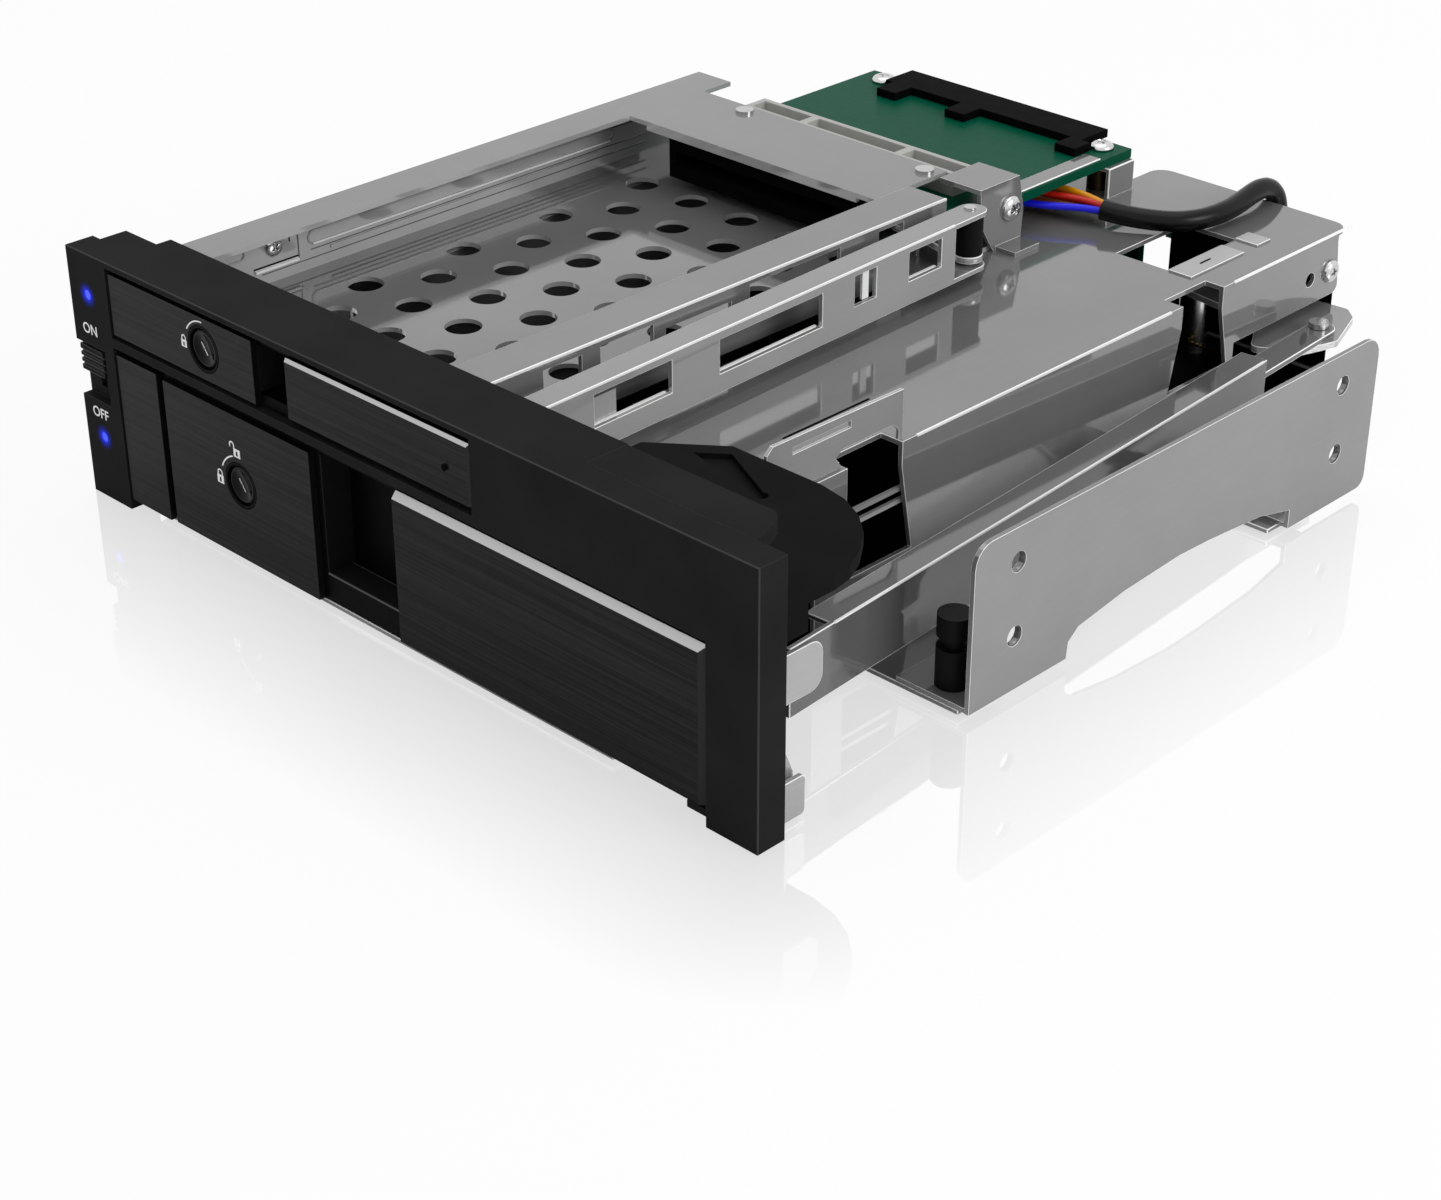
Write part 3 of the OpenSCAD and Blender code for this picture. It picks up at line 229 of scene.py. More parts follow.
def rolled_steel(name, dark, light, rough=0.05, grain_mm=0.35, metal=0.45, painted_wall_light=1.0):
    """Zinc plated cold rolled sheet under clear lacquer: even, with a faint shine and rolling grain; its upright
    faces are painted lighter than its flat ones, as painted light.
    """
    made, tree = material(name)
    haze_mm = 26.0
    roll = grain(tree, grain_mm, 4.0, (1, 22, 1))
    haze = grain(tree, haze_mm, 3.0)
    tone = add(
        tree,
        "ShaderNodeMath",
        {"operation": "MULTIPLY_ADD"},
        i0=roll.outputs[0],
        i1=0.35,
        i2=haze.outputs[0],
    )
    # Painted light: upright walls are painted lighter than the flat floors, by up to the given factor
    normal = add(tree, "ShaderNodeSeparateXYZ", Vector=add(tree, "ShaderNodeTexCoord").outputs["Normal"])
    flat = add(tree, "ShaderNodeMath", {"operation": "ABSOLUTE"}, i0=normal.outputs[2])
    level = spread(tree, flat.outputs[0], painted_wall_light, 1.0)
    zinc = blend_colours(tree, tone.outputs[0], dark, light, 0.45, 0.9)
    shade = add(tree, "ShaderNodeVectorMath", {"operation": "SCALE"}, i0=zinc, i3=level)
    shader = add(
        tree,
        "ShaderNodeBsdfPrincipled",
        Base_Color=shade.outputs[0],
        Metallic=metal,
        Roughness=spread(tree, haze.outputs[0], rough - 0.03, rough + 0.05),
        Normal=bump(tree, roll.outputs[0], 0.003, 0.15),
    )
    output(tree, shader)
    return made


def brushed_anodised(name, dark, light, edge):
    """Black anodised aluminium, brushed along its length before the bath; its bevels are cut bright, painted as
    highlights only where they face forward and up, and painted a little lighter where they face right.
    """
    made, tree = material(name)
    # The real brush hairs are finer; these are as coarse as they need to be to show
    hair_mm = 0.32
    streak_mm = 1.1
    tilt = 0.3
    hair = grain(tree, hair_mm, 5.0, (120, 1, 1))
    streak = grain(tree, streak_mm, 3.0, (60, 1, 1))
    mixed = add(
        tree,
        "ShaderNodeMath",
        {"operation": "MULTIPLY_ADD"},
        i0=streak.outputs[0],
        i1=0.45,
        i2=hair.outputs[0],
    )
    plate = blend_colours(tree, mixed.outputs[0], dark, light, 0.6, 0.86)
    normal = add(tree, "ShaderNodeSeparateXYZ", Vector=add(tree, "ShaderNodeTexCoord").outputs["Normal"])
    # Painted highlight: only the bevel that faces forward and up gets the bright cut colour
    upward = add(tree, "ShaderNodeMath", {"operation": "GREATER_THAN"}, i0=normal.outputs[2], i1=tilt)
    forward = add(tree, "ShaderNodeMath", {"operation": "LESS_THAN"}, i0=normal.outputs[1], i1=-tilt)
    cut = add(tree, "ShaderNodeMath", {"operation": "MULTIPLY"}, i0=upward.outputs[0], i1=forward.outputs[0])
    # Painted light: the bevel that faces right is painted a little lighter than the face
    right = add(tree, "ShaderNodeMath", {"operation": "GREATER_THAN"}, i0=normal.outputs[0], i1=tilt)
    mix = {"data_type": "RGBA"}
    right_lit = add(tree, "ShaderNodeMix", mix, Factor=right.outputs[0], i6=plate, i7=linear("#2c2c2c"))
    colour = add(tree, "ShaderNodeMix", mix, Factor=cut.outputs[0], i6=right_lit.outputs[2], i7=linear(edge))
    shader = add(
        tree,
        "ShaderNodeBsdfPrincipled",
        Base_Color=colour.outputs[2],
        Metallic=0.85,
        Roughness=spread(tree, hair.outputs[0], 0.3, 0.5),
        Normal=bump(tree, hair.outputs[0], 0.01, 0.3),
    )
    output(tree, shader)
    return made


def turned_metal(name, code, rough=0.15):
    """Turned metal, plated or left bare: bright, with a fine tool grain."""
    made, tree = material(name)
    tool_mm = 0.15
    fine = grain(tree, tool_mm, 3.0)
    shader = add(
        tree,
        "ShaderNodeBsdfPrincipled",
        Base_Color=linear(code),
        Metallic=1.0,
        Roughness=spread(tree, fine.outputs[0], rough, rough + 0.08),
        Normal=bump(tree, fine.outputs[0], 0.004, 0.2),
    )
    output(tree, shader)
    return made


def moulded_plastic(name, code, rough=0.4, shine=0.4):
    """Smooth moulded nylon, PVC or film with a trace of flow marks."""
    made, tree = material(name)
    flow_mm = 3.0
    flow = grain(tree, flow_mm, 3.0)
    shader = add(
        tree,
        "ShaderNodeBsdfPrincipled",
        Base_Color=linear(code),
        Roughness=spread(tree, flow.outputs[0], rough - 0.05, rough + 0.1),
        Normal=bump(tree, flow.outputs[0], 0.01, 0.2),
        Specular_IOR_Level=shine,
    )
    output(tree, shader)
    return made


def soft_rubber(name, code):
    """Moulded rubber: dull, with a fine dusty grain."""
    made, tree = material(name)
    dust_mm = 0.3
    fine = grain(tree, dust_mm, 4.0)
    shader = add(
        tree,
        "ShaderNodeBsdfPrincipled",
        Base_Color=linear(code),
        Roughness=spread(tree, fine.outputs[0], 0.5, 0.7),
        Normal=bump(tree, fine.outputs[0], 0.02, 0.4),
        Specular_IOR_Level=0.15,
    )
    output(tree, shader)
    return made


def solder_mask(name):
    """Glass fibre board under green solder mask: faint copper tracks and the weave show through."""
    made, tree = material(name)
    place = add(tree, "ShaderNodeTexCoord")
    track_mm = 9.6
    weave_mm = 0.5
    tracks = add(
        tree,
        "ShaderNodeTexBrick",
        {"offset": 0.37, "squash": 1.0},
        Vector=place.outputs["Object"],
        Color1=linear("#004a35"),
        Color2=linear("#004833"),
        Mortar=linear("#014d38"),
        Scale=1 / (track_mm * MM),
        Mortar_Size=0.012,
    )
    weave = grain(tree, weave_mm, 2.0, (1, 3, 1))
    shader = add(
        tree,
        "ShaderNodeBsdfPrincipled",
        Base_Color=tracks.outputs[0],
        Roughness=spread(tree, weave.outputs[0], 0.32, 0.45),
        Normal=bump(tree, weave.outputs[0], 0.01, 0.2),
        Specular_IOR_Level=0.04,
    )
    output(tree, shader)
    return made


def lit_lens(name, code, strength):
    """Clear acrylic light pipe, lit from behind."""
    made, tree = material(name)
    shader = add(
        tree,
        "ShaderNodeBsdfPrincipled",
        Base_Color=linear(code),
        Roughness=0.15,
        Emission_Color=linear(code),
        Emission_Strength=strength,
    )
    output(tree, shader)
    return made


def printed_ink(name, code):
    """Pad printed ink: flat and opaque, a little dusty."""
    made, tree = material(name)
    speck_mm = 0.4
    speck = grain(tree, speck_mm, 3.0)
    shader = add(
        tree,
        "ShaderNodeBsdfPrincipled",
        Base_Color=linear(code),
        Roughness=spread(tree, speck.outputs[0], 0.55, 0.75),
    )
    output(tree, shader)
    return made


# Bezel: spark eroded black ABS that stays charcoal in the light
bezel_abs = moulded_abs("moulded_abs_bezel", "#202020", "#252525", 0.55, shine=0.012, glows=True)
# Doors' carriers: the same ABS in the shade of their plates, near black
door_abs = moulded_abs("moulded_abs_door", "#030303", "#050505", 0.5, shine=0.05)
# Hinge cover: a duller ABS moulding
cover_abs = moulded_abs("moulded_abs_cover", "#151515", "#191919", 0.55, shine=0.01)
# Rounded corners of the bezel, smoother than its faces
edge_abs = moulded_abs("moulded_abs_edge", "#121212", "#181818", 0.35, shine=0.3)
# Zinc plated sheet in copies whose tones are painted light and shade: upright walls painted lighter, bends and
# rounded edges painted as highlights, some parts painted lighter or darker for where they sit
sheet_steel = rolled_steel("zinc_plated_sheet", "#7e7e7e", "#868686", painted_wall_light=1.25)
flat_steel = rolled_steel("zinc_plated_tray", "#7e7e7e", "#868686", painted_wall_light=2.7)
# Painted highlight: near white zinc for bends, ridges, lips and rounded edges that catch the light
highlight_steel = rolled_steel("painted_highlight_zinc", "#f0f0f0", "#ffffff", 0.3, metal=0.1)
# Painted light: a lighter copy of the zinc for brackets, clips and ribs that stand in the light
lit_steel = rolled_steel("painted_lit_zinc", "#a6a6a6", "#b2b2b2", 0.2)
# Painted light: a lighter copy of the zinc for the upper link, the levers and the tray wall's beads
lever_lit_steel = rolled_steel("lever_lit_zinc", "#8c8c8c", "#949494", painted_wall_light=1.7)
# Painted shade: a darker copy of the zinc for the lower link and the fold lines on the tray's wall
shaded_steel = rolled_steel("painted_shade_zinc", "#6c6c6c", "#747474")
# Black anodised plates on the doors, brushed along X
plate_metal = brushed_anodised("brushed_anodised_plate", "#030303", "#1f1f1f", "#bcbcbc")
# Finger pockets: lighter ABS painted as light on their floor and left walls, with a painted highlight on their
# rims
rim_highlight_abs = moulded_plastic("painted_highlight_rim", "#565656", 0.3, 0.2)
lit_pocket_plastic = moulded_plastic("painted_lit_pocket", "#1a1a1a", 0.4, 0.1)
# Key locks' faces: polished nylon, deep black
lock_nylon = moulded_plastic("polished_black_nylon", "#020202", 0.12, 0.12)
# Nickel plated pan heads, bare turned steel pins, spacers of blackened brass, gold flashed contacts
nickel = turned_metal("nickel_plated_screw", "#cfcfcf", 0.14)
pin_metal = turned_metal("turned_steel_pin", "#bdbdbd", 0.18)
brass = turned_metal("blackened_brass", "#4a4030", 0.3)
gold = turned_metal("gold_plated_contact", "#d8a840", 0.2)
# Plugs' bodies: glass filled nylon, dull black; the comb and the header are of undyed nylon
plug_nylon = moulded_plastic("glass_filled_nylon", "#0a0a0a", 0.5, 0.01)
pale_nylon = moulded_plastic("pale_nylon", "#adadaa", 0.5, 0.2)
# Cable sleeve: extruded soft PVC with a long soft highlight
sleeve_pvc = moulded_plastic("pvc_sleeve", "#0e0e0e", 0.25, 0.16)
post_rubber = soft_rubber("moulded_rubber", "#060606")
board_mask = solder_mask("green_solder_mask")
blue_lens = lit_lens("acrylic_light_pipe", "#1c30ff", 1.6)
white_ink = printed_ink("white_pad_print", "#f2f2f2")
# Thin polyester film, matt black; also used for black pieces of painted shade
black_film_and_shade = moulded_plastic("black_film_and_painted_shade", "#010101", 0.6, 0.02)

FINISH = {
    bezel_abs: ["bezel", "switch_knob", "switch_body"],
    cover_abs: ["hinge_housing"],
    plate_metal: [
        "upper_lock_plate", "upper_flap_plate", "lower_lock_plate", "lower_flap_plate", "lower_end_plate",
    ],
    sheet_steel: [
        "side_plate_right", "side_plate_left", "large_cage", "small_bay_rail", "base_plate", "end_bracket",
        "board_leg", "ground_strip",
    ],
    flat_steel: ["small_bay_tray", "cross_plate"],
    lever_lit_steel: ["upper_link", "upper_lever", "lower_lever"],
    shaded_steel: ["lower_link"],
    lit_steel: ["bezel_bracket_right", "bezel_bracket_left", "front_bracket", "cable_clips"],
    pin_metal: [
        "hinge_pins", "lever_pivots", "upper_arm_pin", "lower_arm_pin", "upper_lever_pin", "lower_lever_pin",
        "cross_rivets", "upper_latch_bolt", "lower_latch_bolt",
    ],
    brass: ["board_spacers"],
    nickel: ["board_screws", "case_screws"],
    plug_nylon: ["large_connector", "small_connector", "rear_plug", "board_insulator"],
    pale_nylon: ["comb_bar", "wire_header"],
    post_rubber: ["rubber_posts", "upper_roller"],
    board_mask: ["upper_board", "large_board"],
    blue_lens: ["led_lenses"],
    door_abs: [
        "upper_door_body", "lower_door_body", "upper_lock_collar", "lower_lock_collar", "upper_lock_barrel",
        "lower_lock_barrel",
    ],
    sleeve_pvc: ["cable_sleeve", "cable_wires"],
}
# Width of the rounded edge that each finish shows, in millimetres, and the finish of that edge; the near white
# zinc there is a painted highlight
EDGES = {
    bezel_abs: (0.3, edge_abs),
    door_abs: (0.15, None),
    sheet_steel: (0.2, highlight_steel),
    lever_lit_steel: (0.2, highlight_steel),
    lit_steel: (0.1, highlight_steel),
    shaded_steel: (0.14, highlight_steel),
    plug_nylon: (0.12, None),
    pale_nylon: (0.12, None),
}
# Corners closer than WELD_GAP millimetres are one, and so are faces within FLAT_ANGLE degrees of each other
# Edges sharper than SHARP_ANGLE degrees are rounded
WELD_GAP = 0.01
FLAT_ANGLE = 0.5
SHARP_ANGLE = 38


def round_edges(obj, width_mm, finish=None):
    """Rounds the sharp edges of a piece; the rounding may have a finish of its own, such as a painted highlight.
    """
    weld = obj.modifiers.new("weld", "WELD")
    weld.merge_threshold = WELD_GAP * MM
    merge = obj.modifiers.new("flat_faces", "DECIMATE")
    merge.decimate_type = "DISSOLVE"
    merge.angle_limit = math.radians(FLAT_ANGLE)
    bevel = obj.modifiers.new("edges", "BEVEL")
    bevel.width = width_mm * MM
    bevel.segments = 2
    bevel.limit_method = "ANGLE"
    bevel.angle_limit = math.radians(SHARP_ANGLE)
    bevel.use_clamp_overlap = True
    if finish:
        obj.data.materials.append(finish)
        bevel.material = len(obj.data.materials) - 1


for finish, names in FINISH.items():
    for name in names:
        obj = nodes[name]
        obj.data.materials.clear()
        obj.data.materials.append(finish)
        if finish in EDGES:
            round_edges(obj, *EDGES[finish])


def piece(name, data, finish, body, replaces=()):
    """A new piece of the object, a mesh or a curve, that rides on a body."""
    obj = bpy.data.objects.new(name, data)
    scene.collection.objects.link(obj)
    data.materials.append(finish)
    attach(obj, body)
    if replaces:
        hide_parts(*replaces)
    return obj


def mesh_of(name, bm, smooth=False):
    """A mesh from a bmesh, with its faces turned outwards."""
    bmesh.ops.recalc_face_normals(bm, faces=bm.faces)
    mesh = bpy.data.meshes.new(name)
    for face in bm.faces:
        face.smooth = smooth
    bm.to_mesh(mesh)
    bm.free()
    return mesh


def arc(centre, radius, start, end, steps):
    """Points of a flat arc between two angles in degrees."""
    angles = [math.radians(start + (end - start) * k / steps) for k in range(steps + 1)]
    return [(centre[0] + radius * math.cos(a), centre[1] + radius * math.sin(a)) for a in angles]


def rectangle(low, high):
    """The four corners of a flat rectangle."""
    return [(low[0], low[1]), (high[0], low[1]), (high[0], high[1]), (low[0], high[1])]


# How a flat point and its place along the axis across it make a point in space
ORDER = {
    "x": lambda point, along: at(along, *point),
    "y": lambda point, along: at(point[0], along, point[1]),
    "z": lambda point, along: at(*point, along),
}


def prism(bm, axis, low, high, points):
    """Adds an outline drawn across an axis, in millimetres, as a solid from low to high along that axis."""
    front = [bm.verts.new(ORDER[axis](point, low)) for point in points]
    rear = [bm.verts.new(ORDER[axis](point, high)) for point in points]
    bm.faces.new(front)
    bm.faces.new(rear[::-1])
    for k in range(len(points)):
        n = (k + 1) % len(points)
        bm.faces.new((front[k], rear[k], rear[n], front[n]))


def block(bm, low, high):
    """Adds a box between two corners given in millimetres."""
    prism(bm, "z", low[2], high[2], rectangle(low, high))


def blocks(name, boxes, finish, body):
    """A piece made of boxes, each given by two corners."""
    bm = bmesh.new()
    for low, high in boxes:
        block(bm, low, high)
    return piece(name, mesh_of(name, bm), finish, body)


# Black film that insulates the bay's floor and its rear end
FILM_T = 0.2
BAY_RIGHT = 44
BAY_FLOOR = 1.5
BAY_REAR = 173.6
floor_film = ((-57.2, 12.5, BAY_FLOOR), (BAY_RIGHT, 172, BAY_FLOOR + FILM_T))
rear_film = ((10, BAY_REAR, BAY_FLOOR), (BAY_RIGHT, BAY_REAR + FILM_T, 27.3))
blocks("insulating_film", [floor_film, rear_film], black_film_and_shade, "chassis")
# Bezel's top flange, carried on to the hinge side with a rounded end
FLANGE_END = [(37.9, 5), (68.7, 5), (68.3, 6.8), (67.2, 9.8), (66.3, 11.4), (65, 12.4), (37.9, 12.4)]
FLANGE_Z = (40, 42.34)
bm = bmesh.new()
prism(bm, "z", *FLANGE_Z, FLANGE_END)
piece("bezel_flange_end", mesh_of("bezel_flange_end", bm), bezel_abs, "chassis")
# Painted light in the finger pockets: a lit floor in the lower one with painted highlights on its front and rear
# rims, and both pockets' left walls painted lighter
POCKET_FLOOR = ((-14.6, 1.2, 7.0), (2.4, 5.6, 7.1))
POCKET_RIMS = [((-14.6, 1.0, 6.9), (2.4, 1.2, 7.14)), ((-14.6, 5.5, 7.06), (2.4, 5.62, 7.14))]
LOWER_WALL = ((-14.75, 1.2, 7.1), (-14.6, 6.2, 26.4))
UPPER_WALL = ((-27.95, 1.2, 32.1), (-27.8, 6.2, 39.5))
blocks("lower_pocket_painted_sheen", [POCKET_FLOOR], lit_pocket_plastic, "lower_door")
blocks("lower_pocket_rim_highlights", POCKET_RIMS, rim_highlight_abs, "lower_door")
blocks("lower_pocket_lit_wall", [LOWER_WALL], lit_pocket_plastic, "lower_door")
blocks("upper_pocket_lit_wall", [UPPER_WALL], lit_pocket_plastic, "upper_door")
# Painted shade: black film along the foot of the upper tray's rail, where the gap below it lies in shadow; and
# the drive plug's contacts
blocks("rail_shade_strip", [((7.85, 37, 28.25), (8.05, 104, 29.8))], black_film_and_shade, "chassis")
CONTACT_PITCH = 1.0
CONTACTS = [23 + CONTACT_PITCH * k for k in range(9)]
blocks(
    "plug_contacts", [((x, 162.0, 3.8), (x + CONTACT_PITCH / 2, 162.38, 4.5)) for x in CONTACTS],
    gold, "chassis",
)
# Painted shade: black discs in the row of tray holes over the shell's top, for the shade inside them
HOLE_PITCH = 12
HOLE_ROW = [(-53.8 + HOLE_PITCH * k, 41.8) for k in range(5)]
DISC_R = 2.96
bm = bmesh.new()
for place in HOLE_ROW:
    prism(bm, "z", 28.22, 28.3, arc(place, DISC_R, 0, 345, 23))
piece("hole_shade_discs", mesh_of("hole_shade_discs", bm), black_film_and_shade, "chassis")
# Painted highlights: bright strips along the bends of the shell and the upper tray's rail
BEND = 0.32
PROUD = 0.03
bm = bmesh.new()
for x, z, start, end in ((45, 28.2, 63.5, 125), (45, 28.2, 142, 176), (7, 40, 13, 114)):
    prism(bm, "y", start, end, [(x - BEND, z + PROUD), (x + PROUD, z + PROUD), (x + PROUD, z - BEND)])
piece("bend_highlights", mesh_of("bend_highlights", bm), highlight_steel, "chassis")
# Two guide ribs on the bay's right wall, seen through the front window, in the zinc painted lighter as lit
RIB_T = 0.7
ribs = [((43.4, 46, z), (BAY_RIGHT, 66, z + RIB_T)) for z in (17.6, 19.6)]
blocks("guide_ribs", ribs, lit_steel, "chassis")
# Shelf that carries the shell's top forward under the upper tray, and black strips of painted shade in the seam
# beside the front bracket and in one further back
SHELF = [(8.4, 14), (30, 14), (33, 20), (36.8, 30), (37.2, 42.1), (8.4, 42.1)]
SHELF_Z = (27.5, 28.2)
bm = bmesh.new()
prism(bm, "z", *SHELF_Z, SHELF)
piece("front_shelf", mesh_of("front_shelf", bm), sheet_steel, "chassis")
blocks(
    "seam_shade_strips", [((31.7, 49, 28.2), (32.15, 67.7, 28.24)), ((36.75, 143.6, 28.5), (37.05, 146.4, 28.62))],
    black_film_and_shade, "chassis",
)


def lathe(bm, profile, turn, steps=32):
    """Adds a solid turned about +Z from a profile of radius and height in millimetres, placed by turn."""
    rings = []
    for radius, height in profile:
        circle = arc((0, 0), radius, 0, 360 * (steps - 1) / steps, steps - 1)
        rings.append([bm.verts.new(turn @ (Vector((x, y, height)) * MM)) for x, y in circle])
    for low, high in zip(rings, rings[1:]):
        for k in range(steps):
            bm.faces.new((low[k], low[(k + 1) % steps], high[(k + 1) % steps], high[k]))
    bm.faces.new(rings[0][::-1])
    bm.faces.new(rings[-1])


def facing(place, direction):
    """The placement that turns +Z to a direction."""
    return Matrix.Translation(place) @ Vector(direction).to_track_quat("Z", "Y").to_matrix().to_4x4()


# Pan head screws with a pressed cross
HEAD_PROFILE = [(1.0, 0.0), (1.0, 0.28), (0.93, 0.55), (0.78, 0.78), (0.55, 0.93), (0.3, 0.99), (0.1, 1.0)]
CROSS_SHARE = 0.95
CROSS_THIN_SHARE = 0.11
CROSS_TIP_SHARE = 0.55
SHANK_SHARE = 0.55


def cross_cutter(placed, radius, height, turn):
    """A tapered cross that cuts the drive recess of a screw head."""
    bm = bmesh.new()
    long, thin = 0.5 * CROSS_SHARE * radius, CROSS_THIN_SHARE * radius
    arm = [(thin, thin), (thin, long), (-thin, long)]
    loops = []
    for share, h in ((CROSS_TIP_SHARE, 0.4 * height), (1.1, 1.3 * height)):
        loops.append([])
        for k in range(4):
            quarter = Matrix.Rotation(math.radians(turn + 90 * k), 4, "Z")
            for x, y in arm:
                loops[-1].append(bm.verts.new(placed @ quarter @ (Vector((x * share, y * share, h)) * MM)))
    bm.faces.new(loops[0][::-1])
    bm.faces.new(loops[1])
    for k in range(12):
        n = (k + 1) % 12
        bm.faces.new((loops[0][k], loops[0][n], loops[1][n], loops[1][k]))
    cutter = bpy.data.objects.new("cutter", mesh_of("cutter", bm))
    scene.collection.objects.link(cutter)
    return cutter


def pan_screw(name, place, direction, radius, height, body, turn=20, shank=3.0):
    """A pan head screw with a pressed cross; place is the middle of the head's seat."""
    bm = bmesh.new()
    placed = facing(at(*place), direction)
    shank_r = SHANK_SHARE * radius
    lathe(bm, [(shank_r, -shank), (shank_r, 0)] + [(radius * r, height * h) for r, h in HEAD_PROFILE], placed)
    head = piece(name, mesh_of(name, bm, True), nickel, body)
    cutter = cross_cutter(placed, radius, height, turn)
    cut = head.modifiers.new("cross", "BOOLEAN")
    cut.operation = "DIFFERENCE"
    cut.object = cutter
    cut.solver = "EXACT"
    bake(head)
    bpy.data.objects.remove(cutter)
    return head


def bake(obj):
    """Applies a piece's modifiers to its mesh."""
    bpy.context.view_layer.update()
    done = bpy.data.meshes.new_from_object(obj.evaluated_get(bpy.context.evaluated_depsgraph_get()))
    obj.modifiers.clear()
    obj.data = done


SCREW_R = 2.2
SCREW_H = 1.25
UP = (0, 0, 1)
RIGHT = (1, 0, 0)
board_head = pan_screw("board_screw_left", (-47.5, 160.4, 35.3), UP, SCREW_R, SCREW_H, "chassis", 30, 5.5)
pan_screw("board_screw_right", (3.0, 160.4, 35.3), UP, SCREW_R, SCREW_H, "chassis", 62, 5.5)
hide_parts("board_screws")
case_head = pan_screw("bracket_screw", (8.8, 128.2, 34.9), RIGHT, SCREW_R, SCREW_H, "chassis", 25, 0.8)
pan_screw("shell_screw_rear", (45.0, 170.3, 21.6), RIGHT, 2.0, 1.1, "chassis", 15, 1.4)
pan_screw("tray_screw", (-65.2, 32.6, 35.0), RIGHT, 1.7, 0.7, "chassis", 40, 0.8)
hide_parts("case_screws")


def tube(name, points, width_mm, finish, body, replaces=()):
    """A round cord through points given in millimetres."""
    curve = bpy.data.curves.new(name, "CURVE")
    curve.dimensions = "3D"
    curve.bevel_depth = width_mm * MM / 2
    curve.bevel_resolution = 5
    curve.resolution_u = 10
    curve.use_fill_caps = True
    spline = curve.splines.new("NURBS")
    spline.points.add(len(points) - 1)
    for point, place in zip(spline.points, points):
        point.co = (*at(*place), 1.0)
    spline.order_u = 4
    spline.use_endpoint_u = True
    return piece(name, curve, finish, body, replaces)


# The cable: a black sleeve over the shell to the rear plug, and the coloured wires that run into it
SLEEVE_W = 3.6
WIRE_W = 1.25
SLEEVE = [
    (14.5, 146.4, 31), (18, 147.2, 30.7), (21.7, 149, 30.5), (25.2, 151.2, 30.35), (27.6, 154.6, 30.3),
    (28.7, 159, 30.3),
    (28.8, 164, 30.4), (28.4, 168.4, 30.8), (28.1, 172.2, 31.2), (28.1, 175.2, 30.8), (28.3, 177.2, 29.2),
    (28.7, 177.9, 26.8), (29, 177.7, 24.2), (29, 177.6, 22),
]
tube("black_sleeve", SLEEVE, SLEEVE_W, sleeve_pvc, "chassis", ["cable_sleeve"])
WIRES = {
    "yellow_wire": (
        "#e8b800",
        [
            (-6, 146.5, 31.8), (-2, 147.2, 31.5), (4, 149, 31.2),
            (8.5, 148.7, 31.3), (12, 147.9, 31.4), (15.5, 147, 31.3),
        ],
    ),
    "amber_wire": (
        "#d89000",
        [
            (-6, 145, 32.4), (-2, 145.6, 32.2), (3, 147.2, 32),
            (8, 147.8, 32), (12, 147.4, 31.9), (15.5, 146.7, 31.6),
        ],
    ),
    "orange_wire": (
        "#d8541a",
        [
            (-6, 143.4, 31.4), (-2, 143.8, 31.2), (3, 145.2, 31.1),
            (8, 146.4, 31), (12, 146.6, 31), (15.5, 146.4, 31),
        ],
    ),
    "red_wire": (
        "#c01c08",
        [
            (-6, 141.6, 32), (-2, 142, 31.8), (3, 143.6, 31.7),
            (8, 145.4, 31.8), (12, 146.2, 31.8), (15.5, 146.3, 31.6),
        ],
    ),
    "brown_wire": (
        "#5a2c10",
        [
            (-6, 139.6, 31.4), (-2, 140, 31.2), (3, 141.8, 31),
            (8, 144.2, 30.7), (12, 145.8, 30.6), (15.5, 146.2, 30.7),
        ],
    ),
    "blue_wire": (
        "#1418e0",
        [
            (-6, 137, 31.6), (-2, 137.2, 31.4), (4.6, 139.6, 31.1),
            (8.8, 142.2, 31.2), (12.4, 144.9, 31.1), (15.5, 146, 31),
        ],
    ),
    "black_wire": (
        "#0c0c0c",
        [
            (-6, 148.6, 31), (-2, 148.8, 30.8), (3, 149, 30.2),
            (8, 147.6, 30.2), (12, 146.8, 30.4), (15.5, 146.7, 30.6),
        ],
    ),
}
wire_pieces = [
    tube(name, route, WIRE_W, moulded_plastic("pvc_" + name, code, 0.35, 0.4), "chassis")
    for name, (code, route) in WIRES.items()
]
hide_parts("cable_wires")


def print_marks(name, loops, thick_mm, finish, body):
    """Flat marks on a door's plate: each loop of X and Z points becomes a thin raised patch."""
    bm = bmesh.new()
    for points in loops:
        prism(bm, "y", PLATE_Y - thick_mm, PLATE_Y, points)
    piece(name, mesh_of(name, bm), finish, body)


def band(centre, radius, width, start, end, steps=14):
    """Loop of a curved stripe between two angles in degrees, counted from +X towards +Z."""
    rim = arc(centre, radius + width / 2, start, end, steps)
    back = arc(centre, radius - width / 2, start, end, steps)
    return rim + back[::-1]


def box_round(x, z, half_x, half_z):
    """Corners of a rectangle round its middle."""
    return rectangle((x - half_x, z - half_z), (x + half_x, z + half_z))


def padlock(centre, size, opened):
    """Loops of a plain padlock sign: a body and a shackle, swung aside when it is open."""
    x, z = centre
    neck = size * 0.25
    swung = x - size * 0.72 if opened else x
    shackle_r = size * 0.32
    shackle = band((swung, z + neck), shackle_r, size * 0.16, 0, 180)
    legs = [box_round(swung + side * shackle_r, z + neck / 2, size * 0.08, neck / 2) for side in (-1, 1)]
    return [box_round(x, z - size * 0.45, size * 0.5, size * 0.45), shackle] + legs


# Thickness of the print, the plates' front face and the size of the signs, in millimetres
INK = 0.02
PLATE_Y = 0.2
UPPER_LOCK = (-39.9, 35.4)
LOWER_LOCK = (-33.6, 15.0)
SIGN = 1.3


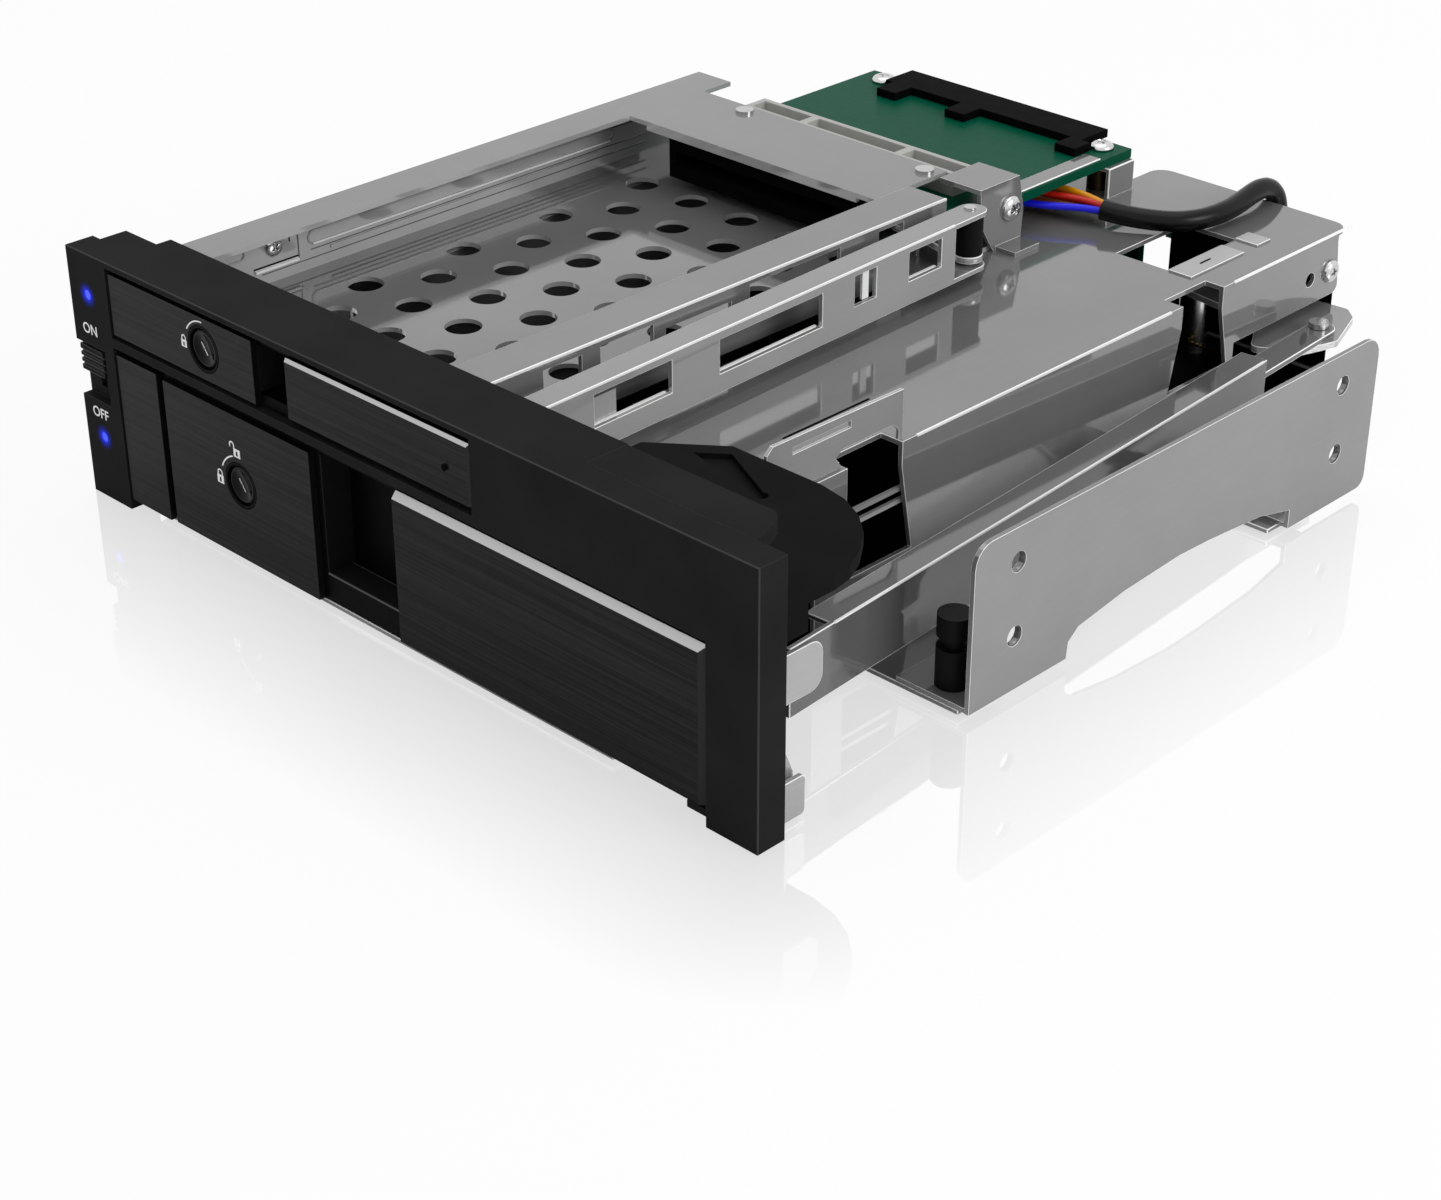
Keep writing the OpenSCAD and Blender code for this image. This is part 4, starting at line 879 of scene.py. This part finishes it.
def lock_signs(name, locks, sweep, body):
    """Printed padlock signs with a dark keyhole in each, joined by the arc that the key sweeps."""
    signs = [loop for lock in locks for loop in padlock(*lock)]
    print_marks(name, signs + [sweep], INK, white_ink, body)
    dots = [box_round(x, z - size * 0.5, size * 0.12, size * 0.24) for (x, z), size, _ in locks]
    print_marks(name + "_dots", dots, INK * 2, black_film_and_shade, body)


upper_sweep = band(UPPER_LOCK, 4.35, 0.22, 88, 150)
lower_sweep = band(LOWER_LOCK, 4.7, 0.25, 108, 156)
lower_pair = [((-38.7, 15.1), SIGN * 1.2, False), ((-33.9, 21), SIGN * 1.2, True)]
lock_signs("upper_lock_signs", [((-44.7, 35.5), SIGN, False)], upper_sweep, "upper_door")
lock_signs("lower_lock_signs", lower_pair, lower_sweep, "lower_door")

# Turned faces of the key locks: a rim, a dished ring and a key slot with two bright steel wards, placed and
# tilted to paint the slot's glint as a highlight
BARREL_DISH = [(2.95, 0.0), (2.95, 0.22), (2.7, 0.3), (2.45, 0.3), (2.3, 0.1), (0.1, 0.1)]
BARREL_Y = 0.7
WARDS = [(-0.35, 0.5), (0.35, -0.45)]
WARD_HALF = (0.13, 0.55)
WARD_TILT = math.radians(36)
for side, place in (("upper", UPPER_LOCK), ("lower", LOWER_LOCK)):
    body = side + "_lock"
    bm = bmesh.new()
    lathe(bm, BARREL_DISH, facing(at(place[0], BARREL_Y, place[1]), (0, -1, 0)), 40)
    piece(body + "_face", mesh_of(body + "_face", bm, True), lock_nylon, body)
    bm = bmesh.new()
    tilted = Matrix.Rotation(WARD_TILT, 2)
    for ward in WARDS:
        corners = [Vector(place) + Vector(ward) + tilted @ Vector(c) for c in box_round(0, 0, *WARD_HALF)]
        prism(bm, "y", BARREL_Y - 0.22, BARREL_Y - 0.05, corners)
    piece(side + "_key_glint_wards", mesh_of(side + "_key_glint_wards", bm), pin_metal, body)

# Reset hole in the upper flap: a black disc painted as the shade inside the hole
FLAP_HOLE = (14.7, 0, 35.2)
bm = bmesh.new()
lathe(bm, [(0.55, 0.0), (0.55, 0.03), (0.1, 0.03)], facing(at(*FLAP_HOLE), (0, -1, 0)), 24)
piece("shaded_reset_hole", mesh_of("shaded_reset_hole", bm), black_film_and_shade, "upper_door")


TRAY_WALL = -65.2
BEAD_W = 0.35
BEAD_H = 0.16
SUNK = 0.05


def bead(name, low, high):
    """Bead pressed in the tray's left wall: a long closed loop between two corners of Y and Z."""
    rise = (high[1] - low[1]) / 2
    middle = (high[1] + low[1]) / 2
    loop = arc((low[0] + rise, middle), rise, 90, 270, 10) + arc((high[0] - rise, middle), rise, -90, 90, 10)
    bm = bmesh.new()
    for a, b in zip(loop, loop[1:] + loop[:1]):
        run = Vector(b) - Vector(a)
        side = Vector((run.y, -run.x)).normalized() * BEAD_W / 2
        corners = [Vector(a) - side, Vector(a) + side, Vector(b) + side, Vector(b) - side]
        prism(bm, "x", TRAY_WALL - SUNK, TRAY_WALL + BEAD_H, corners)
    piece(name, mesh_of(name, bm), lever_lit_steel, "chassis")


def wall_marks(name, height_mm, marks, finish):
    """Raised strips on the tray's left wall, each given by two corners of Y and Z; their finishes paint the shade
    and highlights of its folds.
    """
    low, high = TRAY_WALL - SUNK, TRAY_WALL + height_mm
    blocks(name, [((low, *start), (high, *end)) for start, end in marks], finish, "chassis")


bead("tray_bead_high", (39.6, 33.2), (108, 35.4))
bead("tray_bead_low", (19, 34.4), (26.8, 36.2))
# Painted shade in black and dark zinc lines, and painted highlights in near white strips, along the tray wall's
# folds
wall_marks(
    "tray_wall_shade_lines", 0.08,
    [((37.5, 31.6), (37.75, 36.6)), ((35.7, 34.9), (35.9, 36.5)), ((28.4, 31.9), (37.4, 32.15))],
    black_film_and_shade,
)
wall_marks(
    "tray_wall_fold_shade", 0.1,
    [((40, 32.2), (116, 32.36)), ((30, 30.7), (116, 30.86)), ((40, 35.3), (116, 35.46))],
    shaded_steel,
)
wall_marks("tray_ridge_highlight", 0.3, [((40.4, 33.1), (107, 33.35))], highlight_steel)
wall_marks("tray_tab_highlight", 0.4, [((28.6, 31.3), (37.3, 31.75))], highlight_steel)


def along_link(name, pins, boxes, finish, body):
    """Boxes given across, along and above a link, turned to run from its front pin to its rear one."""
    start, end = (Vector(pin) for pin in pins)
    along = (end - start).normalized()
    across = Vector((along.y, -along.x))
    bm = bmesh.new()
    for low, high in boxes:
        prism(bm, "z", low[2], high[2], [start + c * across + l * along for c, l in rectangle(low, high)])
    piece(name, mesh_of(name, bm), finish, body)


# Lips and a tab at the windows of the upper link, and the bend of each link; the lips and bends are painted
# highlights
UPPER_PINS = ((15.9, 6.2), (12.4, 113.4))
LOWER_PINS = ((60.2, 7.2), (50.4, 160.0))
LIP = (1.5, 1.95)
LINK_BEND = (2.5, 2.83)
along_link("link_window_lip_highlights", UPPER_PINS, [
    ((LIP[0], 78.2, 33.9), (LIP[1], 79.7, 38.8)),
    ((LIP[0], 45.2, 32.9), (LIP[1], 67.4, 33.15)),
    ((LIP[0], 88.9, 33.8), (LIP[1], 96.4, 34.0)),
    ((LIP[0], 19.0, 33.4), (LIP[1], 34.2, 33.6)),
    ((LINK_BEND[0], 9.5, 39.75), (LINK_BEND[1], 100, 40.03)),
], highlight_steel, "upper_bar")
lower_bend = ((LINK_BEND[0], 20.5, 18.15), (LINK_BEND[1], 131, 18.43))
along_link("lower_link_highlight", LOWER_PINS, [lower_bend], highlight_steel, "lower_bar")
along_link("link_window_tab", UPPER_PINS, [((1.0, 17.6, 32.2), (1.45, 24.4, 37.4))], lever_lit_steel, "upper_bar")


# How tall a capital is in the font's size, and how much each stroke is widened
CAPITAL_SHARE = 0.7
STROKE_MM = 0.03


def word(name, text, x, z, height_mm):
    """Short printed word on the bezel's front face, centred on x and z."""
    curve = bpy.data.curves.new(name, "FONT")
    curve.body = text
    curve.size = height_mm * MM / CAPITAL_SHARE
    curve.align_x = "CENTER"
    curve.align_y = "CENTER"
    curve.extrude = INK * MM / 2
    curve.offset = STROKE_MM * MM
    obj = bpy.data.objects.new(name, curve)
    scene.collection.objects.link(obj)
    bpy.context.view_layer.update()
    mesh = bpy.data.meshes.new_from_object(obj)
    bpy.data.objects.remove(obj)
    upright = Matrix.Rotation(math.radians(90), 4, "X")
    mesh.transform(Matrix.Translation(at(x, -INK / 2, z)) @ upright)
    piece(name, mesh, white_ink, "chassis")


word("on_word", "ON", -69.75, 29.35, 1.7)
word("off_word", "OFF", -69.65, 14.95, 1.7)

# Studio: pale floor that shows the object's soft shadow and a faint mirror image, and a white surround
# FLOOR_GLOW is the share of plain white in the floor as the camera sees it
FLOOR_GLOW = 0.86
floor_finish, tree = material("glossy_white_floor")
light_path = add(tree, "ShaderNodeLightPath")
matt = add(tree, "ShaderNodeBsdfDiffuse", Color=linear("#f4f4f4"))
glow = add(tree, "ShaderNodeEmission", Color=linear("#ffffff"), Strength=1.0)
seen = add(
    tree, "ShaderNodeMath", {"operation": "MULTIPLY"}, i0=light_path.outputs["Is Camera Ray"], i1=FLOOR_GLOW,
)
pale = add(tree, "ShaderNodeMixShader", Fac=seen.outputs[0], i1=matt.outputs[0], i2=glow.outputs[0])
gloss = add(tree, "ShaderNodeBsdfGlossy", Color=linear("#ffffff"), Roughness=0.02)
# The mirror image fades with the distance from the object's footprint, over MIRROR_REACH metres
MIRROR_NEAR = 0.22
MIRROR_REACH = 0.032
TALL = 9
spot = add(tree, "ShaderNodeTexCoord").outputs["Object"]
middle = [(cad_box[0][k] + cad_box[1][k]) / 2 for k in range(2)] + [0]
half = [(cad_box[1][k] - cad_box[0][k]) / 2 for k in range(2)] + [TALL]
away = add(tree, "ShaderNodeVectorMath", {"operation": "SUBTRACT"}, i0=spot, i1=middle)
away = add(tree, "ShaderNodeVectorMath", {"operation": "ABSOLUTE"}, i0=away.outputs[0])
away = add(tree, "ShaderNodeVectorMath", {"operation": "SUBTRACT"}, i0=away.outputs[0], i1=half)
away = add(tree, "ShaderNodeVectorMath", {"operation": "MAXIMUM"}, i0=away.outputs[0], i1=(0, 0, 0))
away = add(tree, "ShaderNodeVectorMath", {"operation": "LENGTH"}, i0=away.outputs[0]).outputs["Value"]
mirror = add(tree, "ShaderNodeMapRange", Value=away, From_Max=MIRROR_REACH, To_Min=MIRROR_NEAR, To_Max=0.0)
shine = add(tree, "ShaderNodeMixShader", Fac=mirror.outputs[0], i1=pale.outputs[0], i2=gloss.outputs[0])
output(tree, shine)
bm = bmesh.new()
bmesh.ops.create_grid(bm, x_segments=1, y_segments=1, size=4.0)
floor_mesh = mesh_of("studio_floor", bm)
floor_mesh.materials.append(floor_finish)
floor = bpy.data.objects.new("studio_floor", floor_mesh)
floor.location = (0, 0, cad_box[0][2])
scene.collection.objects.link(floor)

# The surround is white to the eye and in mirror images, and lights the object at this level
SURROUND = 0.62
world = bpy.data.worlds.new("studio_surround")
scene.world = world
world.use_nodes = True
tree = world.node_tree
tree.nodes.clear()
light_path = add(tree, "ShaderNodeLightPath")
rays = light_path.outputs
clear = add(tree, "ShaderNodeMath", {"operation": "MAXIMUM"}, i0=rays["Is Camera Ray"], i1=rays["Is Glossy Ray"])
clear = add(tree, "ShaderNodeMath", {"operation": "MAXIMUM"}, i0=clear.outputs[0], i1=rays["Is Transmission Ray"])
level = add(tree, "ShaderNodeMapRange", Value=clear.outputs[0], To_Min=SURROUND, To_Max=1.0)
sky = add(tree, "ShaderNodeBackground", Color=linear("#ffffff"), Strength=level.outputs[0])
add(tree, "ShaderNodeOutputWorld", Surface=sky.outputs[0])


def softbox(name, place, target, size, power):
    """Soft rectangular lamp that looks at a target; places in metres."""
    data = bpy.data.lights.new(name, "AREA")
    data.energy = power
    data.shape = "RECTANGLE"
    data.size = size[0]
    data.size_y = size[1]
    lamp = bpy.data.objects.new(name, data)
    lamp.location = place
    lamp.rotation_euler = (Vector(target) - Vector(place)).to_track_quat("-Z", "Y").to_euler()
    scene.collection.objects.link(lamp)


softbox("top_softbox", (-0.1, 0.1, 0.9), (0, 0, 0), (0.8, 0.8), 2.2)
softbox("side_softbox", (0.9, 0.2, 0.5), (0, 0, 0.02), (0.5, 0.4), 4.2)
